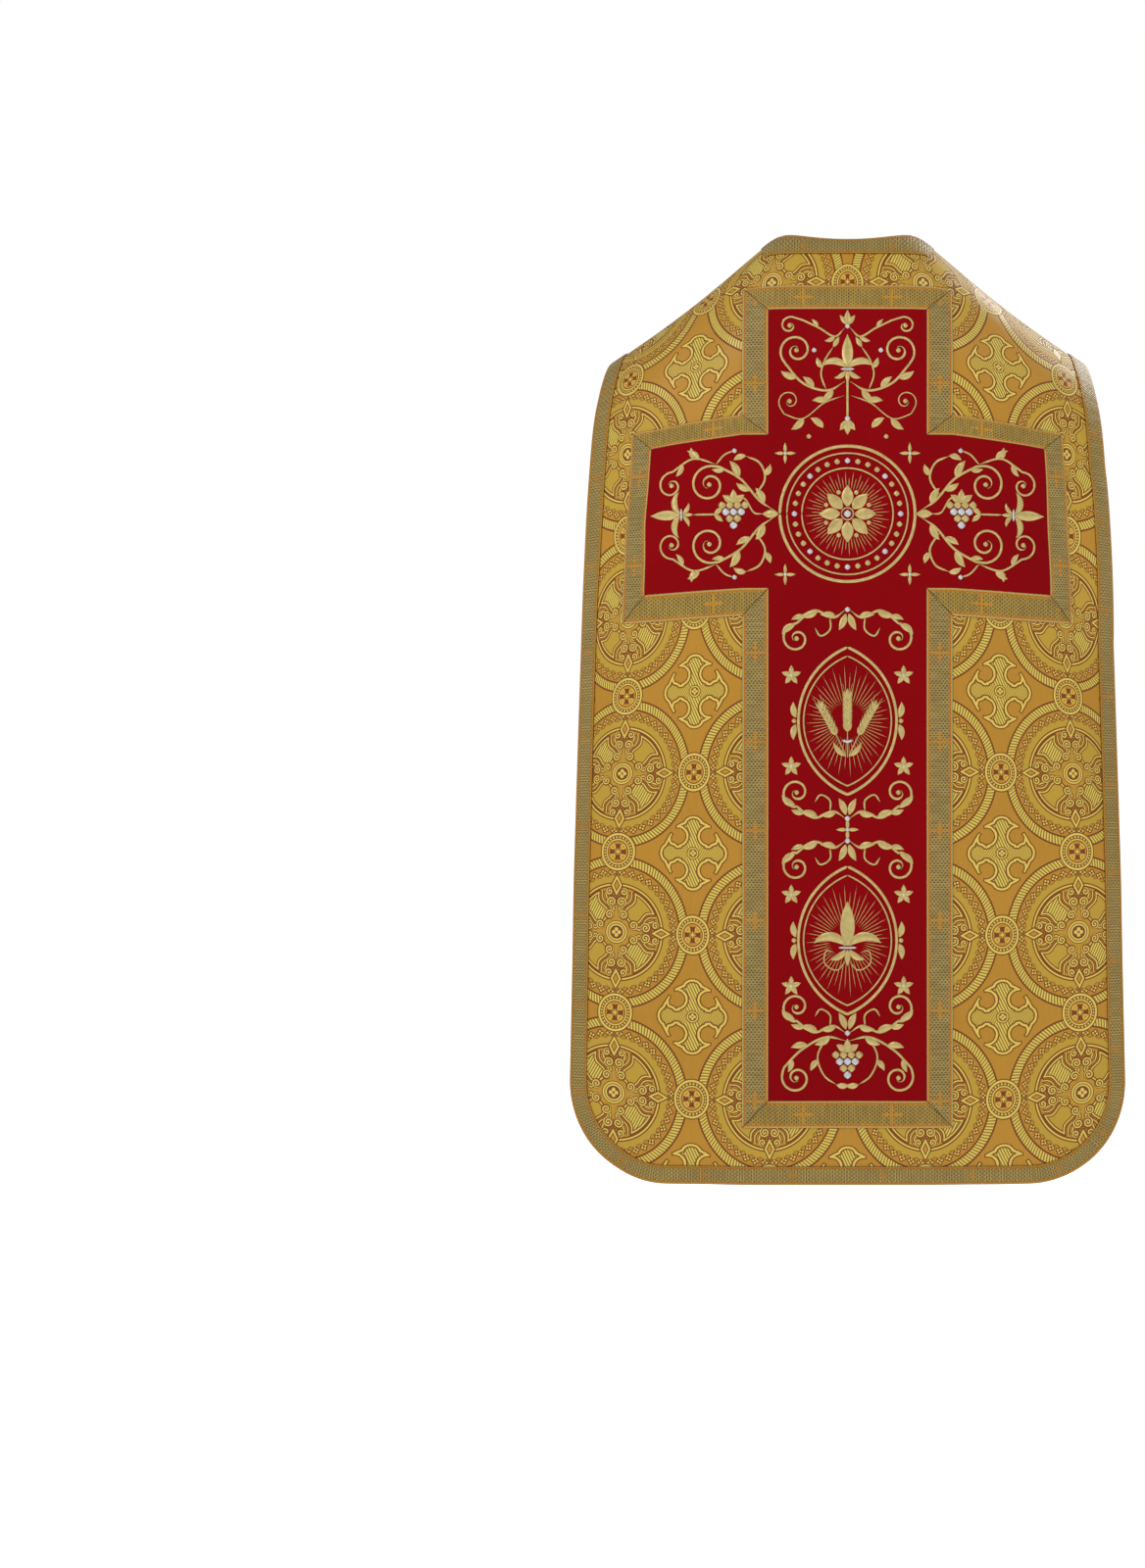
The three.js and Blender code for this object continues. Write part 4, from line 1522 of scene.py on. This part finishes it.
def head_vines(s):
    vine(s, [(3, 76), (22, 66), (50, 74), (72, 98)], (58, 112, 19, -30, 1.4, 1),
         [(0.25, -1, 16), (0.55, 1, 15), (0.8, -1, 16)])
    vine(s, [(4, 60), (26, 52), (52, 34), (74, 40)], (66, 54, 13, -40, 1.2, 1),
         [(0.3, 1, 15), (0.65, -1, 16)], width=1.7)
    vine(s, [(3, 138), (14, 128), (32, 138), (52, 148)], (66, 141, 11, 120, 1.1, -1),
         [(0.35, -1, 11), (0.7, 1, 10)], width=2.4)
    s.curve([(24, 66), (30, 84), (26, 100), (16, 116)], width=2.2)
    s.leaf(16, 116, 120, 13, 6)
    s.leaf(29, 92, 40, 13, 6.5, bend=40)
    s.bead(38, 112, 2.8, True)
    s.leaf(28, 24, 60, 18, 8, bend=-40)
    s.bead(44, 14, 2.8)


def foot_vines(s):
    vine(s, [(2, 0), (24, 4), (52, -10), (74, -32)], (58, -42, 17, 20, 1.4, -1),
         [(0.3, -1, 16), (0.6, 1, 16), (0.85, -1, 13)])
    s.curve([(24, 4), (34, -18), (26, -40), (12, -50)], width=2.3)
    s.leaf(12, -50, 200, 14, 7, bend=-30)
    s.leaf(33, -22, -30, 15, 7, bend=-40)


def back_design():
    s = Stitches()
    for z, mirrored, motif in (
            (-340, False, crossing), (-340, True, arm_vines), (-266, False, head_axis),
            (-266, True, head_vines), (-576, False, wheat_frame), (-826, False, lily_frame),
            (-940, True, foot_vines)):
        with s.placed(z, mirrored=mirrored):
            motif(s)
    for z, stretch, up in ((-446, 1.0, -1), (-690, 0.9, 1), (-710, 0.9, -1), (-934, 0.9, 1)):
        column_scrolls(s, z, stretch, up)
    crosslet(s, 0, -700, 13)
    grapes(s, 0, -956)
    return s


def front_design():
    s = Stitches()
    column_scrolls(s, -322, 0.8, -1)
    with s.placed(-436, mirrored=False):
        lily_frame(s)
    for z, frame in ((-548, wheat_frame), (-786, lily_frame)):
        column_scrolls(s, z, 0.9, 1)
        crosslet(s, 0, z - 8, 12)
        column_scrolls(s, z - 16, 0.9, -1)
        with s.placed(z - 128, mirrored=False):
            frame(s)
    column_scrolls(s, -1000, 0.6, 1)
    return s


def lay_on(cloth_piece, side, name, stitches):
    """One mesh of all strips, every point dropped square onto the cloth from outside."""
    depsgraph = bpy.context.evaluated_depsgraph_get()
    tree = BVHTree.FromObject(cloth_piece, depsgraph)
    far, into = float(side), Vector((0, -side, 0))

    def drop(x, z, height):
        place, normal, *_ = tree.ray_cast(Vector((x * MM, far, z * MM)), into)
        if place is None:
            place, normal, *_ = tree.find_nearest(Vector((x * MM, side * 0.12, z * MM)))
        return (place + normal * height * MM) / MM

    vertices, faces, uvs, silvers = [], [], [], []
    ring = len(SECTION)
    for points, halves, height, silver in stitches.strips:
        first = len(vertices)
        ahead = np.gradient(points, axis=0)
        ahead /= np.maximum(np.linalg.norm(ahead, axis=1, keepdims=True), 1e-9)
        steps = np.linalg.norm(np.diff(points, axis=0), axis=1)
        runs = [0.0, *np.cumsum(steps).tolist()]
        for i, (point, half) in enumerate(zip(points, halves)):
            for share, rise in SECTION:
                x = point[0] - ahead[i][1] * share * half
                z = point[1] + ahead[i][0] * share * half
                vertices.append(drop(x, z, height * rise + 0.1 if rise else -0.1))
        for i in range(len(points) - 1):
            for k in range(ring):
                after = (k + 1) % ring
                a, b = first + i * ring + k, first + i * ring + after
                faces.append((a, b, b + ring, a + ring))
                low, high = SECTION[k][0] * halves[i], SECTION[after][0] * halves[i]
                uvs += [(low, runs[i]), (high, runs[i]), (high, runs[i + 1]),
                        (low, runs[i + 1])]
                silvers.append(silver)
        for end, flip in ((first, False), (first + (len(points) - 1) * ring, True)):
            cap = range(end, end + ring)
            faces.append(tuple(cap) if flip else tuple(reversed(cap)))
            uvs += [(0, 0)] * ring
            silvers.append(silver)
    made = new_object(name, [list(v) for v in vertices], faces, uvs, GOLD, sharp=80)
    made.data.materials.append(SILVER)
    made.data.polygons.foreach_set("material_index", [int(silver) for silver in silvers])
    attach(made, "root")
    return made


# ---- Cloth pieces ----

fine = Cloth()
coarse = Cloth(thin=2)


def declare(piece, slot, node):
    """Hangs a piece on the root body and hides the part that it stands for; `slot`, where its
    finish would come from, is not used.
    """
    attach(piece, "root")
    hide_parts(node)
    return piece


def cloth_piece(cloth, node, slot, rule, faces_at, material):
    """The thin wall that stands for a panel, lining or orphrey, with its flat cut as UVs."""
    flat = cloth.flat(BACK if node.startswith("back") else FRONT).tolist()
    polygons = [cell.corners for cell in cloth.chosen(rule)]
    uvs = [[flat[point] for point in corners] for corners in polygons]
    piece = shell(cloth, node + "_cloth", polygons, uvs, faces_at, material,
                  lip=(UNDER_TRIM, faces_at[0]))
    return declare(piece, slot, node)


def is_column_red(cell):
    return cell.step < 2 and is_front_column(cell)


def is_crossbar(cell):
    return not cell.rim and between(cell, "crossbar top", "crossbar low")


back_panel = cloth_piece(fine, "back_panel", "brocade", is_back_cut, PANEL, BROCADE)
front_panel = cloth_piece(fine, "front_panel", "brocade", is_front_cut, PANEL, BROCADE)
back_lining = cloth_piece(coarse, "back_lining", "lining", is_back_cut, LINING, SATIN)
front_lining = cloth_piece(coarse, "front_lining", "lining", is_front_cut, LINING, SATIN)
back_orphrey = cloth_piece(fine, "back_orphrey", "orphrey", is_cross_red, ORPHREY, VELVET)
front_orphrey = cloth_piece(fine, "front_orphrey", "orphrey", is_column_red, ORPHREY, VELVET)

declare(cross_galloon(fine, "cross_galloon_braid", WIDE_BRAID, SHEEN_LEVEL_BRAID),
        "galloon", "back_cross_galloon")
# The crossbar lies level, so it also takes the copy with painted sheen.
declare(strip_galloon(fine, "crossbar_galloon_braid", is_crossbar, "along",
                      (ROW["crossbar top"], ROW["crossbar low"]), SHEEN_LEVEL_BRAID),
        "galloon", "crossbar_galloon")
declare(neck_galloon(fine, "neck_galloon_braid", NARROW_BRAID), "galloon", "neck_galloon")
declare(edge_galloon(fine, "edge_galloon_braid", NARROW_BRAID), "galloon", "edge_galloon")
for hand, sign in (("left", 1), ("right", -1)):
    column = strip_galloon(
        fine, f"front_column_braid_{hand}",
        lambda cell: cell.step == 2 and cell.sign == sign and is_front_column(cell),
        "up", (2, 3), WIDE_BRAID)
    declare(column, "galloon", f"front_column_galloon_{hand}")
back_embroidery = lay_on(back_orphrey, BACK, "back_embroidery", back_design())
front_embroidery = lay_on(front_orphrey, FRONT, "front_embroidery", front_design())

# ---- Stage, lights and camera ----

FLOOR_Z, FLOOR_REACH = -1.51, 30.0
LIGHTS = (  # name, place, size in metres, watts; all aim at the garment's middle
    ("key_back", (1.8, 1.9, 1.6), 0.9, 37),
    ("top_back", (-1.3, 1.0, 1.5), 0.8, 10),
    ("fill_back", (-2.2, 2.4, 0.2), 2.2, 7),
    ("key_front", (-1.8, -1.9, 1.6), 0.9, 42),
    ("fill_front", (2.2, -2.4, 0.2), 2.2, 7),
)
MIDDLE = Vector((0, 0, -0.6))
WORLD_LIGHT, WORLD_SEEN = 0.36, 1.0  # strengths of the world as a light and where it is seen
FOCAL_PIXELS, FRAME_TALL = 1969.6, 1600


def stage():
    mesh = bpy.data.meshes.new("floor")
    corners = [(x * FLOOR_REACH, y * FLOOR_REACH, FLOOR_Z)
               for x, y in ((-1, -1), (1, -1), (1, 1), (-1, 1))]
    mesh.from_pydata(corners, [], [(0, 1, 2, 3)])
    finish = bpy.data.materials.new("floor_white")
    finish.use_nodes = True
    shader = finish.node_tree.nodes["Principled BSDF"]
    for socket, value in (("Base Color", (0.50, 0.50, 0.50, 1)), ("Roughness", 0.9),
                          ("Emission Color", (1, 1, 1, 1)), ("Emission Strength", 1.0)):
        shader.inputs[socket].default_value = value
    mesh.materials.append(finish)
    add_object("floor", mesh)


def lights():
    for name, place, size, watts in LIGHTS:
        data = bpy.data.lights.new(name, "AREA")
        data.size, data.energy = size, watts
        made = add_object(name, data)
        made.location = place
        made.rotation_euler = (MIDDLE - Vector(place)).to_track_quat("-Z", "Y").to_euler()


def surroundings():
    world = bpy.data.worlds.new("studio")
    world.use_nodes = True
    nodes, links = world.node_tree.nodes, world.node_tree.links
    background = nodes["Background"]
    background.inputs["Color"].default_value = (1, 1, 1, 1)
    seen = nodes.new("ShaderNodeLightPath")
    strength = nodes.new("ShaderNodeMapRange")
    strength.inputs["To Min"].default_value = WORLD_LIGHT
    strength.inputs["To Max"].default_value = WORLD_SEEN
    links.new(seen.outputs["Is Camera Ray"], strength.inputs["Value"])
    links.new(strength.outputs["Result"], background.inputs["Strength"])
    bpy.context.scene.world = world


def camera():
    """The back view of the photograph, whose figure stands right of the frame's middle."""
    data = bpy.data.cameras.new("camera")
    data.sensor_width = 36.0
    data.lens = data.sensor_width * FOCAL_PIXELS / FRAME_TALL
    data.shift_x = -280.5 / FRAME_TALL
    data.shift_y = -25.0 / FRAME_TALL
    made = add_object("camera", data)
    made.location = (0, 0.118 + 2.2, -0.620)  # 2.2 m behind the panel
    made.rotation_euler = (math.pi / 2, 0, math.pi)
    bpy.context.scene.camera = made


stage()
lights()
surroundings()
camera()
bpy.context.scene.view_settings.view_transform = "Standard"
